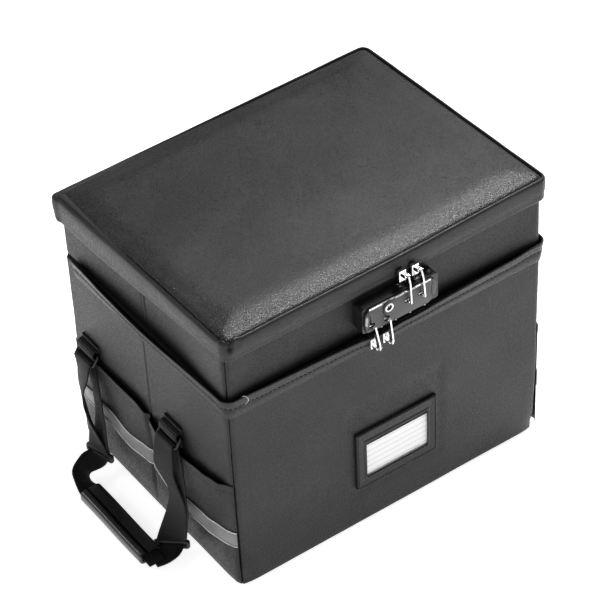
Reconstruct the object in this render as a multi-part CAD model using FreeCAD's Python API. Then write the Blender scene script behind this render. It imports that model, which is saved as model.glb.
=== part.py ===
"""Fireproof document box: soft sides, a zipped tray, a zipped lid, side handles and a lock.

Frame: the origin is the centre of the underside, +Z is up and +X is right.
-Y is the front, where the lock is.
The box is three layers. The base holds files, the shallow tray is hinged on the base's rear edge,
and the padded lid is hinged on the tray's rear edge.
Coated fabric covers boards, and a lining covers them inside.
All lengths are in millimetres.
"""
import FreeCAD, Part
import math
import os

from FreeCAD import Vector

# ---- driving dimensions: the three layers ----
BASE_W = 390.0
BASE_D = 298.0
BASE_TOP = 256.0
TRAY_W = 384.0
TRAY_D = 292.0
TRAY_BOTTOM = 257.0
TRAY_TOP = 334.5
RIM_W = 396.0
RIM_D = 305.0
RIM_FRONT_BOTTOM = 317.5
RIM_SIDE_BOTTOM = 305.0
RIM_TOP = 341.0
LID_TOP = 344.0
CORNER_R = 13.0
SEAM_INSET = 15.0

# ---- cloth and board thicknesses ----
COVER_T = 1.2
BOARD_T = 3.0
LINING_T = 0.8
LAYER_GAP = 0.1
PANEL_GAP = 0.1
CREASE_GAP = 1.5

# ---- hinge line of the lid along the tray's rear edge ----
LID_HINGE_Z = 330.0

# ---- band that stands up from the base and covers the lower zip ----
BAND_BOTTOM = 246.0
BAND_TOP = 266.0
BAND_FRONT_TOP = 257.0
BAND_T = 2.5
BAND_STAND_OFF = 3.0
BAND_END_Y = 128.0

# ---- label holder ----
LABEL_X = 4.7
LABEL_W = 104.0
LABEL_Z = (54.0, 132.0)
WINDOW_W = 79.0
WINDOW_Z = (67.5, 116.0)
CARD_W = 88.0
CARD_Z = (57.5, 109.5)

# ---- side pockets ----
POCKET_GAP = 5.2
POCKET_T = 1.2
POCKET_Z = (8.0, 134.0)
POCKET_Y = 134.0
STRIP_Z = (57.0, 77.0)

# ---- handles: the ring pivot and the strap stations, for the left side ----
PIVOT_X = -200.5
PIVOT_Z = 151.0
RING_BAR_R = 2.0
RING_DROP = 10.5
RING_REACH = 7.5
TAB_W = 28.0
WEB_W = 30.0
WEB_T = 2.0
STRAP_Y = (-40.0, 117.0)
STRAP_FEET = ((-218.0, -72.0, 16.0), (-216.5, 92.0, 16.0))
FOOT_TURN = 38.0
GRIP_Y = (-60.0, 58.0)
GRIP_X = -249.0
GRIP_Z = 10.5
GRIP_SIZE = (26.0, 15.0)
GRIP_WALL = 3.0

# ---- lock ----
LOCK_X = 4.5
LOCK_W = 94.0
LOCK_FACE_Y = -165.0
PLATE_T = 2.8
PLATE_Z = (277.0, 304.0)
HOUSING_Z = (275.5, 307.0)
BACK_T = 1.5
DIAL_X = (8.5, 19.0, 29.5)
DIAL_W = 5.5
DIAL_R = 6.6
DIAL_Y = -154.8
DIAL_Z = 301.4
SHAFT_R = 1.5
KEY_X = -12.4
KEY_Z = 298.0
KEY_R = 3.2
BUTTON_X = 44.0
BUTTON_R = 4.0
SCREW_Z = (280.0, 290.0)
UPPER_CATCH = ((12.0, 293.5), (29.0, 293.5))
LOWER_CATCH = ((-14.5, 284.8), (-32.6, 284.8))

# ---- zip sliders and their pulls ----
BAIL_Y = -166.5
SLIDER_FRONT_Y = -160.0
SLIDER_BACK_Y = -155.1
UPPER_SLIDER_X = (10.4, 26.2)
UPPER_BAIL_Z = 326.0
UPPER_BLOCK_Z = (315.4, 328.0)
UPPER_BRIDGE_Z = (315.4, 317.0)
UPPER_TONGUE_Z = (315.4, 323.0)
LOWER_SLIDER_X = (-10.6, -26.2)
LOWER_BAIL_Z = 251.6
LOWER_BLOCK_Z = (247.0, 259.2)
LOWER_BRIDGE_Z = (257.6, 259.2)
LOWER_TONGUE_Z = (252.0, 259.2)
SLIDER_W = 8.4
BAIL_R = 0.9
PULL_T = 1.8
PULL_W = 5.6

PARTS = {}


def keep(name, shape):
    """Remember a piece under the name of its node."""
    PARTS[name] = shape


def block(x0, x1, y0, y1, z0, z1):
    """Plain block between two corners."""
    return Part.makeBox(x1 - x0, y1 - y0, z1 - z0, Vector(x0, y0, z0))


def rounded(width, depth, radius, z0, z1):
    """Prism with a rounded rectangle as its plan, centred on the origin."""
    prism = block(-width / 2, width / 2, -depth / 2, depth / 2, z0, z1)
    uprights = [e for e in prism.Edges if abs(e.tangentAt(e.FirstParameter).z) > 0.99]
    return prism.makeFillet(radius, uprights)


def ring(width, depth, radius, thickness, z0, z1):
    """Upright wall of even thickness round a rounded rectangle."""
    inner = rounded(width - 2 * thickness, depth - 2 * thickness, radius - thickness, z0 - 1, z1 + 1)
    return rounded(width, depth, radius, z0, z1).cut(inner)


def tub(width, depth, radius, thickness, z0, z1):
    """Ring closed by a floor of the same thickness."""
    inner = rounded(width - 2 * thickness, depth - 2 * thickness, radius - thickness, z0 + thickness, z1 + 1)
    return rounded(width, depth, radius, z0, z1).cut(inner)


def rod(radius, start, end):
    """Round rod between two points."""
    start = Vector(*start)
    along = Vector(*end) - start
    return Part.makeCylinder(radius, along.Length, start, along)


def extruded(points, along):
    """Flat outline through the points, pushed along a vector."""
    corners = [Vector(*p) for p in points]
    face = Part.Face(Part.makePolygon(corners + corners[:1]))
    return face.extrude(Vector(*along))


def mirrored(shape):
    """The same piece on the other side of the box."""
    return shape.mirror(Vector(0, 0, 0), Vector(1, 0, 0))


def group(shapes):
    """Separate solids that share one node."""
    return Part.makeCompound(shapes)


def panels(name, width, depth, radius, z0, z1):
    """Front, rear, left and right covers: each side cover wraps its two corners, as the sewn fabric does."""
    wall = ring(width, depth, radius, COVER_T, z0, z1)
    seam = width / 2 - SEAM_INSET
    far = width
    middle = block(-seam, seam, -far, far, z0 - 1, z1 + 1)
    front_half = block(-far, far, -far, 0, z0 - 1, z1 + 1)
    across = wall.common(middle)
    keep(name + "_front_cover", across.common(front_half))
    keep(name + "_rear_cover", across.cut(front_half))
    outside = block(-far, -seam - PANEL_GAP, -far, far, z0 - 1, z1 + 1)
    left = wall.common(outside)
    keep(name + "_left_cover", left)
    keep(name + "_right_cover", mirrored(left))


def wall_boards(width, depth, z0, z1):
    """Front and rear boards, and the two half boards that each side folds between."""
    x_face = width / 2 - COVER_T - LAYER_GAP
    y_face = depth / 2 - COVER_T - LAYER_GAP
    x_end = width / 2 - SEAM_INSET
    y_end = depth / 2 - SEAM_INSET
    front = block(-x_end, x_end, -y_face, -y_face + BOARD_T, z0, z1)
    rear = block(-x_end, x_end, y_face - BOARD_T, y_face, z0, z1)
    sides = []
    for y0, y1 in ((-y_end, -CREASE_GAP / 2), (CREASE_GAP / 2, y_end)):
        half = block(-x_face, -x_face + BOARD_T, y0, y1, z0, z1)
        sides += [half, mirrored(half)]
    return front, rear, sides


def inner_size(width, depth):
    """Outside size of the lining that fits inside the boards."""
    inset = 2 * (COVER_T + BOARD_T + 2 * LAYER_GAP)
    return width - inset, depth - inset, CORNER_R - inset / 2


def lock_screw_spots():
    """Places of the four screws that hold the lock on the tray's front wall."""
    half = LOCK_W / 2 - 7.0
    return [(LOCK_X + sx * half, z) for sx in (-1, 1) for z in SCREW_Z]


def drilled(shape, radius, y0, y1):
    """Shape with the four lock screw holes through it."""
    for x, z in lock_screw_spots():
        shape = shape.cut(rod(radius, (x, y0, z), (x, y1, z)))
    return shape


def make_base():
    """Covers, boards and lining of the deep lower layer."""
    panels("base", BASE_W, BASE_D, CORNER_R, COVER_T + LAYER_GAP, BASE_TOP)
    keep("base_bottom_cover", rounded(BASE_W, BASE_D, CORNER_R, 0.0, COVER_T))
    front, rear, sides = wall_boards(BASE_W, BASE_D, COVER_T + 2.0, BASE_TOP - 2.0)
    keep("base_end_boards", group([front, rear]))
    keep("base_side_boards", group(sides))
    width, depth, radius = inner_size(BASE_W, BASE_D)
    floor = COVER_T + LAYER_GAP
    keep("base_lining", tub(width, depth, radius, LINING_T, floor, BASE_TOP - 1.0))
    board_w = width - 2 * LINING_T - 3.0
    board_d = depth - 2 * LINING_T - 3.0
    board_z = floor + LINING_T + 0.2
    keep("bottom_board", rounded(board_w, board_d, 6.0, board_z, board_z + BOARD_T))
    make_band()
    hinge_x = BASE_W / 2 - 20.0
    hinge_y = BASE_D / 2 + LAYER_GAP
    keep("rear_hinge_strip", block(-hinge_x, hinge_x, hinge_y, hinge_y + COVER_T, 234.0, 253.0))


def make_band():
    """Band sewn round the top of the base: it stands off in front of the lower zip, with a free top edge."""
    rear_part = block(-BASE_W, BASE_W, BAND_END_Y, BASE_D, 0, LID_TOP)
    hem_top = BAND_BOTTOM + 4.0
    tape = ring(BASE_W + 2.2, BASE_D + 2.2, CORNER_R + 1.1, 1.0, hem_top + 1.0, BASE_TOP - 0.2)
    keep("lower_zip_tape", tape.cut(rear_part))
    reach = BAND_STAND_OFF + BAND_T
    outer_r = CORNER_R + reach
    hem = ring(BASE_W + 2 * reach, BASE_D + 2 * reach, outer_r, reach - LAYER_GAP, BAND_BOTTOM, hem_top)
    wall = ring(BASE_W + 2 * reach, BASE_D + 2 * reach, outer_r, BAND_T, hem_top - 1.0, BAND_TOP)
    seam = BASE_W / 2 - SEAM_INSET
    low_front = block(-seam, seam, -BASE_D, 0, BAND_FRONT_TOP, LID_TOP)
    keep("mid_band", hem.fuse(wall).removeSplitter().cut(rear_part).cut(low_front))


def make_label():
    """Holder sewn on the front with an open top, its clear window, and the card that slides up out of it."""
    wall = -BASE_D / 2
    x0 = LABEL_X - LABEL_W / 2
    x1 = LABEL_X + LABEL_W / 2
    z0, z1 = LABEL_Z
    frame = block(x0, x1, wall - 3.2, wall - LAYER_GAP, z0, z1)
    window = block(LABEL_X - WINDOW_W / 2, LABEL_X + WINDOW_W / 2, wall - 4, wall, *WINDOW_Z)
    slot_x = CARD_W / 2 + 1
    slot = block(LABEL_X - slot_x, LABEL_X + slot_x, wall - 2.2, wall, CARD_Z[0] - 1, z1 + 1)
    keep("label_holder", frame.cut(window).cut(slot))
    pane_x = CARD_W / 2 + 0.6
    pane = block(LABEL_X - pane_x, LABEL_X + pane_x, wall - 2.1, wall - 1.7, CARD_Z[0], z1 - 2)
    keep("label_window", pane)
    keep("index_card", block(LABEL_X - CARD_W / 2, LABEL_X + CARD_W / 2, wall - 1.2, wall - 0.7, *CARD_Z))


def make_pockets():
    """Twin open-topped pockets on each side, with a reflective strip round them."""
    wall = -BASE_W / 2 - LAYER_GAP
    outer = wall - POCKET_GAP - POCKET_T
    z0, z1 = POCKET_Z
    solid = block(outer, wall, -POCKET_Y, POCKET_Y, z0, z1)
    for y0, y1 in ((-POCKET_Y + POCKET_T, -1.0), (1.0, POCKET_Y - POCKET_T)):
        solid = solid.cut(block(outer + POCKET_T, wall + 1, y0, y1, z0 + POCKET_T, z1 + 1))
    keep("left_pocket", solid)
    keep("right_pocket", mirrored(solid))
    strip = block(outer - 0.5, outer - LAYER_GAP, -POCKET_Y, POCKET_Y, *STRIP_Z)
    keep("reflective_strips", group([strip, mirrored(strip)]))


def ribbon(stations, width, thickness):
    """Webbing lofted through stations: each is a centre, a width direction and a face normal."""
    wires = []
    for centre, across, normal in stations:
        centre = Vector(*centre)
        u = Vector(*across).normalize() * (width / 2)
        n = Vector(*normal).normalize() * (thickness / 2)
        corners = [centre + u + n, centre - u + n, centre - u - n, centre + u - n]
        wires.append(Part.makePolygon(corners + corners[:1]))
    return Part.makeLoft(wires, True, True)


def strap_stations(top, foot, bow):
    """Stations from the ring down to the buckle: bow is how far the webbing stands out half way."""
    turn = math.radians(FOOT_TURN)
    stations = []
    steps = 6
    for i in range(steps + 1):
        t = i / steps
        angle = turn * t * t
        x = top[0] + (foot[0] - top[0]) * t - bow * math.sin(math.pi * t)
        y = top[1] + (foot[1] - top[1]) * t * t
        z = top[2] + (foot[2] - top[2]) * t
        slope = (foot[0] - top[0] - bow * math.pi * math.cos(math.pi * t)) / (foot[2] - top[2])
        across = (math.sin(angle), math.cos(angle), 0)
        normal = (math.cos(angle), -math.sin(angle), -slope)
        stations.append(((x, y, z), across, normal))
    return stations


def make_handle():
    """Left handle: two webbing loops on rings, a buckle at each foot, and a split sleeve as the grip."""
    tabs = []
    rings = []
    webbing = []
    buckles = []
    ring_half = TAB_W / 2 + 3.0
    bar_x = PIVOT_X - RING_REACH
    bar_z = PIVOT_Z - RING_DROP
    for y, foot in zip(STRAP_Y, STRAP_FEET):
        wall = -BASE_W / 2 - LAYER_GAP
        sewn = block(PIVOT_X + 1.0, wall, y - TAB_W / 2, y + TAB_W / 2, PIVOT_Z - 8, PIVOT_Z + 7)
        loop = rod(RING_BAR_R + 2.4, (PIVOT_X, y - TAB_W / 2, PIVOT_Z), (PIVOT_X, y + TAB_W / 2, PIVOT_Z))
        bore = rod(RING_BAR_R + 0.4, (PIVOT_X, y - TAB_W, PIVOT_Z), (PIVOT_X, y + TAB_W, PIVOT_Z))
        tabs.append(sewn.fuse(loop).cut(bore))
        corners = [(PIVOT_X, y - ring_half, PIVOT_Z), (PIVOT_X, y + ring_half, PIVOT_Z),
                   (bar_x, y + ring_half, bar_z), (bar_x, y - ring_half, bar_z)]
        bars = [rod(RING_BAR_R, corners[i], corners[(i + 1) % 4]) for i in range(4)]
        knuckles = [Part.makeSphere(RING_BAR_R, Vector(*c)) for c in corners]
        rings.append(bars[0].multiFuse(bars[1:] + knuckles))
        wrap_r = RING_BAR_R + 0.3
        wrap = rod(wrap_r + WEB_T, (bar_x, y - TAB_W / 2, bar_z), (bar_x, y + TAB_W / 2, bar_z))
        wrap = wrap.cut(rod(wrap_r, (bar_x, y - TAB_W, bar_z), (bar_x, y + TAB_W, bar_z)))
        wrap = wrap.cut(block(bar_x - 9, bar_x + 9, y - TAB_W, y + TAB_W, bar_z - 9, bar_z))
        webbing.append(wrap)
        offset = wrap_r + WEB_T / 2
        outer_top = (bar_x - offset, y, bar_z - 0.4)
        inner_top = (bar_x + offset, y, bar_z - 0.4)
        outer_foot = (foot[0] - 1.6, foot[1], foot[2])
        inner_foot = (foot[0] + 1.6, foot[1], foot[2])
        webbing.append(ribbon(strap_stations(outer_top, outer_foot, 11.0), TAB_W, WEB_T))
        webbing.append(ribbon(strap_stations(inner_top, inner_foot, 1.0), TAB_W, WEB_T))
        buckle = block(-4.5, 4.5, -WEB_W / 2 - 3, WEB_W / 2 + 3, -11.5, -0.6)
        buckle = buckle.cut(block(-2.2, 2.2, -WEB_W / 2, WEB_W / 2, -9.0, -2.8))
        buckle.rotate(Vector(0, 0, 0), Vector(0, 0, 1), -FOOT_TURN)
        buckle.translate(Vector(*foot))
        buckles.append(buckle)
    core_x = GRIP_SIZE[0] - 2 * GRIP_WALL - 1.0
    web_z = GRIP_Z - WEB_T / 2
    near = GRIP_X + core_x / 2
    far = GRIP_X - core_x / 2
    front, rear = STRAP_FEET
    front_lead = [(near, GRIP_Y[0]), (far, GRIP_Y[0]), (front[0] - 13.5, front[1] - 8.0),
                  (front[0] + 3.5, front[1] + 14.0)]
    rear_lead = [(near, GRIP_Y[1]), (near + 3.0, GRIP_Y[1] + 14.0), (rear[0] - 13.5, rear[1] - 7.0),
                 (rear[0] + 3.5, rear[1] + 14.0), (rear[0] - 10.0, rear[1] + 14.0),
                 (far + 8.0, GRIP_Y[1] + 32.0), (far, GRIP_Y[1] + 14.0), (far, GRIP_Y[1])]
    for outline in (front_lead, rear_lead):
        webbing.append(extruded([(x, y, web_z) for x, y in outline], (0, 0, WEB_T)))
    webbing.append(block(far, near, GRIP_Y[0] + LAYER_GAP, GRIP_Y[1] - LAYER_GAP, web_z, web_z + WEB_T))
    keep("left_handle_rings", group(rings))
    keep("left_handle_webbing", group(webbing))
    keep("left_handle_buckles", group(buckles))
    keep("left_handle_grip", make_grip())
    for piece in ("rings", "webbing", "buckles", "grip"):
        keep("right_handle_" + piece, mirrored(PARTS["left_handle_" + piece]))
    keep("handle_tabs", group(tabs + [mirrored(t) for t in tabs]))


def make_grip():
    """Flattened sleeve round the webbing, split along its top."""
    width, height = GRIP_SIZE
    y0 = GRIP_Y[0] + 0.4
    y1 = GRIP_Y[1] - 0.4
    outside = block(GRIP_X - width / 2, GRIP_X + width / 2, y0, y1, GRIP_Z - height / 2, GRIP_Z + height / 2)
    long_edges = [e for e in outside.Edges if abs(e.tangentAt(e.FirstParameter).y) > 0.99]
    outside = outside.makeFillet(4.0, long_edges)
    half_w = width / 2 - GRIP_WALL
    half_h = height / 2 - GRIP_WALL
    inside = block(GRIP_X - half_w, GRIP_X + half_w, y0 - 1, y1 + 1, GRIP_Z - half_h, GRIP_Z + half_h)
    slit = block(GRIP_X - 5.0, GRIP_X - 2.5, y0 - 1, y1 + 1, GRIP_Z, GRIP_Z + height)
    return outside.cut(inside).cut(slit)


def make_tray():
    """Shallow middle layer: its covers, boards, floor, lining and the zip tape under the lid's rim."""
    wall_z = TRAY_BOTTOM + 3.6
    panels("tray", TRAY_W, TRAY_D, CORNER_R, wall_z, TRAY_TOP)
    keep("tray_floor", rounded(TRAY_W, TRAY_D, CORNER_R, TRAY_BOTTOM, wall_z - LAYER_GAP))
    front, rear, sides = wall_boards(TRAY_W, TRAY_D, wall_z, TRAY_TOP - 1.5)
    y_in = -TRAY_D / 2 + 10.0
    front = drilled(front, 1.5, y_in, LOCK_FACE_Y)
    keep("tray_boards", group([front, rear] + sides))
    keep("tray_front_cover", drilled(PARTS["tray_front_cover"], 1.5, y_in, LOCK_FACE_Y))
    width, depth, radius = inner_size(TRAY_W, TRAY_D)
    lining = tub(width, depth, radius, LINING_T, wall_z, TRAY_TOP - 0.5)
    keep("tray_lining", drilled(lining, 1.5, y_in, LOCK_FACE_Y))
    tape = ring(TRAY_W + 2.2, TRAY_D + 2.2, CORNER_R + 1.1, 1.0, RIM_FRONT_BOTTOM + 1.5, TRAY_TOP - 0.5)
    rear_part = block(-BASE_W, BASE_W, BAND_END_Y, BASE_D, 0, LID_TOP)
    keep("upper_zip_tape", tape.cut(rear_part))


def make_lid():
    """Lid: rim and flap round the edge, pad on top, board and lining below."""
    thickness = 3.0
    rim = ring(RIM_W, RIM_D, CORNER_R + 3.0, thickness, LID_HINGE_Z + 1.0, RIM_TOP)
    skirt = ring(RIM_W, RIM_D, CORNER_R + 3.0, thickness, RIM_SIDE_BOTTOM, LID_HINGE_Z + 2.0)
    rear_part = block(-BASE_W, BASE_W, BAND_END_Y, BASE_D, 0, LID_TOP)
    seam = RIM_W / 2 - SEAM_INSET
    short_front = block(-seam, seam, -BASE_D, 0, 0, RIM_FRONT_BOTTOM)
    skirt = skirt.cut(rear_part).cut(short_front)
    keep("lid_rim", rim.fuse(skirt).removeSplitter())
    width = RIM_W - 2 * thickness - 1.0
    depth = RIM_D - 2 * thickness - 1.0
    radius = CORNER_R - 0.5
    lining_z = TRAY_TOP + 0.8
    board_z = lining_z + LINING_T + LAYER_GAP
    pad_z = board_z + BOARD_T + LAYER_GAP
    keep("lid_lining", rounded(width - 2, depth - 2, radius - 1, lining_z, lining_z + LINING_T))
    keep("lid_board", rounded(width - 2, depth - 2, radius - 1, board_z, board_z + BOARD_T))
    keep("lid_pad", rounded(width, depth, radius, pad_z, LID_TOP))


def make_lock_body():
    """Housing, back plate, face plate and screws of the lock on the tray's front."""
    x0 = LOCK_X - LOCK_W / 2
    x1 = LOCK_X + LOCK_W / 2
    wall = -TRAY_D / 2 - LAYER_GAP
    back = block(x0 + 2, x1 - 2, wall - BACK_T, wall, HOUSING_Z[0] + 1, HOUSING_Z[1] - 1)
    keep("lock_back_plate", drilled(back, 1.5, wall + 1, wall - 3))
    rear_y = wall - BACK_T - LAYER_GAP
    front_y = LOCK_FACE_Y + PLATE_T + LAYER_GAP
    housing = block(x0, x1, front_y, rear_y, *HOUSING_Z)
    ends = [e for e in housing.Edges if abs(e.tangentAt(e.FirstParameter).y) > 0.99]
    housing = housing.makeFillet(3.0, ends)
    for x in DIAL_X:
        half = DIAL_W / 2 + 0.3
        housing = housing.cut(rod(DIAL_R + 0.4, (x - half, DIAL_Y, DIAL_Z), (x + half, DIAL_Y, DIAL_Z)))
    shaft_x0, shaft_x1 = dial_shaft_ends()
    housing = housing.cut(rod(SHAFT_R, (shaft_x0, DIAL_Y, DIAL_Z), (shaft_x1, DIAL_Y, DIAL_Z)))
    well_z = HOUSING_Z[1] - 12.0
    button_y = DIAL_Y - 0.5
    housing = housing.cut(rod(BUTTON_R + 0.4, (BUTTON_X, button_y, well_z), (BUTTON_X, button_y, 320)))
    housing = housing.cut(block(x0 + 3, x1 - 4, front_y - 1, front_y + 4.6, 281.0, 295.0))
    housing = housing.cut(rod(KEY_R + 0.05, (KEY_X, front_y - 1, KEY_Z), (KEY_X, front_y + 9, KEY_Z)))
    housing = drilled(housing, 1.25, rear_y + 1, rear_y - 6)
    keep("lock_housing", housing)
    plate = block(x0, x1, LOCK_FACE_Y, LOCK_FACE_Y + PLATE_T, *PLATE_Z)
    ends = [e for e in plate.Edges if abs(e.tangentAt(e.FirstParameter).y) > 0.99]
    plate = plate.makeFillet(6.0, ends)
    rim = [e for e in plate.Edges if abs(e.CenterOfMass.y - LOCK_FACE_Y) < 0.01]
    plate = plate.makeChamfer(0.8, rim)
    for x, z in UPPER_CATCH + LOWER_CATCH:
        plate = plate.cut(block(x - 3.6, x + 3.0, LOCK_FACE_Y - 1, LOCK_FACE_Y + 4, z - 2.4, z + 2.4))
    plate = plate.cut(rod(KEY_R + 0.05, (KEY_X, LOCK_FACE_Y - 1, KEY_Z), (KEY_X, LOCK_FACE_Y + 4, KEY_Z)))
    keep("lock_face_plate", plate)
    screws = []
    head_y = -TRAY_D / 2 + COVER_T + BOARD_T + LINING_T + 4 * LAYER_GAP
    for x, z in lock_screw_spots():
        shank = rod(1.2, (x, head_y, z), (x, rear_y - 4, z))
        screws.append(shank.fuse(rod(2.6, (x, head_y, z), (x, head_y + 1.3, z))))
    keep("lock_screws", group(screws))


def dial_shaft_ends():
    """Both ends of the shaft that the dials turn on."""
    return DIAL_X[0] - DIAL_W / 2 - 4.0, DIAL_X[-1] + DIAL_W / 2 + 4.0


def make_dial(x):
    """Number dial with ten grip notches and a running bore."""
    dial = rod(DIAL_R, (x - DIAL_W / 2, DIAL_Y, DIAL_Z), (x + DIAL_W / 2, DIAL_Y, DIAL_Z))
    dial = dial.cut(rod(SHAFT_R + 0.05, (x - DIAL_W, DIAL_Y, DIAL_Z), (x + DIAL_W, DIAL_Y, DIAL_Z)))
    for i in range(10):
        angle = 2 * math.pi * (i + 0.5) / 10
        y = DIAL_Y + (DIAL_R + 0.35) * math.cos(angle)
        z = DIAL_Z + (DIAL_R + 0.35) * math.sin(angle)
        dial = dial.cut(rod(0.7, (x - DIAL_W, y, z), (x + DIAL_W, y, z)))
    return dial


def make_lock_works():
    """Dials on their shaft, key plug, release button and spring, and the catch bar that holds the pulls."""
    for number, x in enumerate(DIAL_X, 1):
        keep("number_dial_%d" % number, make_dial(x))
    shaft_x0, shaft_x1 = dial_shaft_ends()
    keep("dial_shaft", rod(SHAFT_R, (shaft_x0 + 0.2, DIAL_Y, DIAL_Z), (shaft_x1 - 0.2, DIAL_Y, DIAL_Z)))
    plug = rod(KEY_R, (KEY_X, LOCK_FACE_Y + 0.2, KEY_Z), (KEY_X, LOCK_FACE_Y + 10.5, KEY_Z))
    keyway = block(KEY_X - 0.5, KEY_X + 0.5, LOCK_FACE_Y - 1, LOCK_FACE_Y + 8, KEY_Z - 2.2, KEY_Z + 2.2)
    keep("key_plug", plug.cut(keyway))
    top = HOUSING_Z[1]
    button_y = DIAL_Y - 0.5
    stem = rod(BUTTON_R, (BUTTON_X, button_y, top - 8.0), (BUTTON_X, button_y, top + 1.2))
    dome_r = (BUTTON_R ** 2 + 2.0 ** 2) / (2 * 2.0)
    dome = Part.makeSphere(dome_r, Vector(BUTTON_X, button_y, top + 3.2 - dome_r))
    dome = dome.common(block(BUTTON_X - 9, BUTTON_X + 9, button_y - 9, button_y + 9, top + 1.2, top + 9))
    keep("release_button", stem.fuse(dome))
    keep("button_spring", make_spring(BUTTON_X, button_y, top - 11.9, top - 8.1))
    bar = block(LOCK_X - 42.0, LOCK_X + 37.0, LOCK_FACE_Y + 3.5, LOCK_FACE_Y + 6.8, 282.0, 294.2)
    for x, z in UPPER_CATCH + LOWER_CATCH:
        bar = bar.fuse(rod(0.9, (x - 2.4, LOCK_FACE_Y + 0.5, z), (x - 2.4, LOCK_FACE_Y + 4, z)))
    keep("catch_bar", bar)


def make_spring(x, y, z0, z1):
    """Wave spring standing on its end: thin rings joined by posts on alternate sides."""
    count = 5
    ring_t = 0.5
    pitch = (z1 - z0 - ring_t) / (count - 1)
    pieces = []
    for i in range(count):
        z = z0 + i * pitch
        pieces.append(rod(3.0, (x, y, z), (x, y, z + ring_t)).cut(rod(2.1, (x, y, z - 1), (x, y, z + 1))))
        if i < count - 1:
            side = x + (2.55 if i % 2 else -2.55)
            pieces.append(block(side - 0.3, side + 0.3, y - 0.3, y + 0.3, z, z + pitch + ring_t / 2))
    return pieces[0].multiFuse(pieces[1:])


def make_slider(x, wall_y, body_z, bridge_z, tongue_z, bail_z):
    """Zip slider hooked over the free edge of its flap: body in front, bridge, tongue behind, and a bail."""
    half = SLIDER_W / 2
    body = block(x - half, x + half, SLIDER_FRONT_Y, SLIDER_BACK_Y, *body_z)
    front_edges = [e for e in body.Edges if abs(e.CenterOfMass.y - SLIDER_FRONT_Y) < 0.01]
    body = body.makeChamfer(1.2, front_edges)
    tongue = block(x - half + 1, x + half - 1, wall_y - 1.3, wall_y - 0.6, *tongue_z)
    bridge = block(x - half + 1, x + half - 1, SLIDER_BACK_Y - 2.0, wall_y - 0.6, *bridge_z)
    slider = body.fuse(bridge).fuse(tongue)
    root_y = SLIDER_FRONT_Y + 1.0
    root_z = min(max(bail_z, body_z[0] + 3.0), body_z[1] - 3.0)
    for side in (-1, 1):
        inner = x + side * 2.2
        outer = x + side * 3.4
        post = extruded([(inner, root_y, root_z - 1.6), (inner, BAIL_Y + 0.6, bail_z - 1.5),
                         (inner, BAIL_Y - 1.2, bail_z), (inner, BAIL_Y + 0.6, bail_z + 1.5),
                         (inner, root_y, root_z + 1.6)], (outer - inner, 0, 0))
        slider = slider.fuse(post)
    return slider.fuse(rod(BAIL_R, (x - 2.8, BAIL_Y, bail_z), (x + 2.8, BAIL_Y, bail_z)))


def make_pull(x, bail_z, tip_x, tip_z):
    """Blade on edge to the lock's face, with an eye round the bail and an eye at its tip."""
    way = 1 if tip_z > bail_z else -1
    eye_r = PULL_W / 2
    reach = math.hypot(tip_x - x, tip_z - bail_z)
    centre_y = LOCK_FACE_Y - 0.5 - eye_r
    half = PULL_T / 2
    head = rod(eye_r, (-half, BAIL_Y, 0), (half, BAIL_Y, 0))
    tip = rod(eye_r, (-half, centre_y, way * reach), (half, centre_y, way * reach))
    shank = extruded([(-half, BAIL_Y + eye_r * 0.8, 0), (-half, BAIL_Y - eye_r, 0),
                      (-half, centre_y - eye_r, way * 8.0), (-half, centre_y - eye_r, way * reach),
                      (-half, centre_y + eye_r, way * reach), (-half, centre_y + eye_r, way * 8.0)],
                     (PULL_T, 0, 0))
    pull = head.fuse(shank).fuse(tip)
    pull = pull.cut(rod(BAIL_R + 0.4, (-3, BAIL_Y, 0), (3, BAIL_Y, 0)))
    pull = pull.cut(rod(1.4, (-3, centre_y, way * reach), (3, centre_y, way * reach)))
    lean = math.degrees(math.atan2(tip_x - x, way * (tip_z - bail_z)))
    pull.rotate(Vector(0, 0, 0), Vector(0, 1, 0), way * lean)
    pull.translate(Vector(x, 0, bail_z))
    return pull


def make_zips():
    """Two sliders on each zip, and their pulls, which meet at the lock."""
    rows = (("upper", UPPER_SLIDER_X, UPPER_CATCH, UPPER_BAIL_Z, -TRAY_D / 2 - 1.1,
             (UPPER_BLOCK_Z, UPPER_BRIDGE_Z, UPPER_TONGUE_Z)),
            ("lower", LOWER_SLIDER_X, LOWER_CATCH, LOWER_BAIL_Z, -BASE_D / 2 - 0.7,
             (LOWER_BLOCK_Z, LOWER_BRIDGE_Z, LOWER_TONGUE_Z)))
    for row, xs, catches, bail_z, wall_y, heights in rows:
        for x, (tip_x, tip_z) in zip(xs, catches):
            side = "left" if x == min(xs) else "right"
            keep("%s_%s_slider" % (row, side), make_slider(x, wall_y, *heights, bail_z))
            keep("%s_%s_pull" % (row, side), make_pull(x, bail_z, tip_x, tip_z))


make_base()
make_label()
make_pockets()
make_handle()
make_tray()
make_lid()
make_lock_body()
make_lock_works()
make_zips()

os.makedirs("parts", exist_ok=True)
for node, shape in PARTS.items():
    shape.exportStep("parts/" + node + ".step")
print(len(PARTS), "nodes")
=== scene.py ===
import bpy
import math
from mathutils import Matrix, Vector, noise


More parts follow.
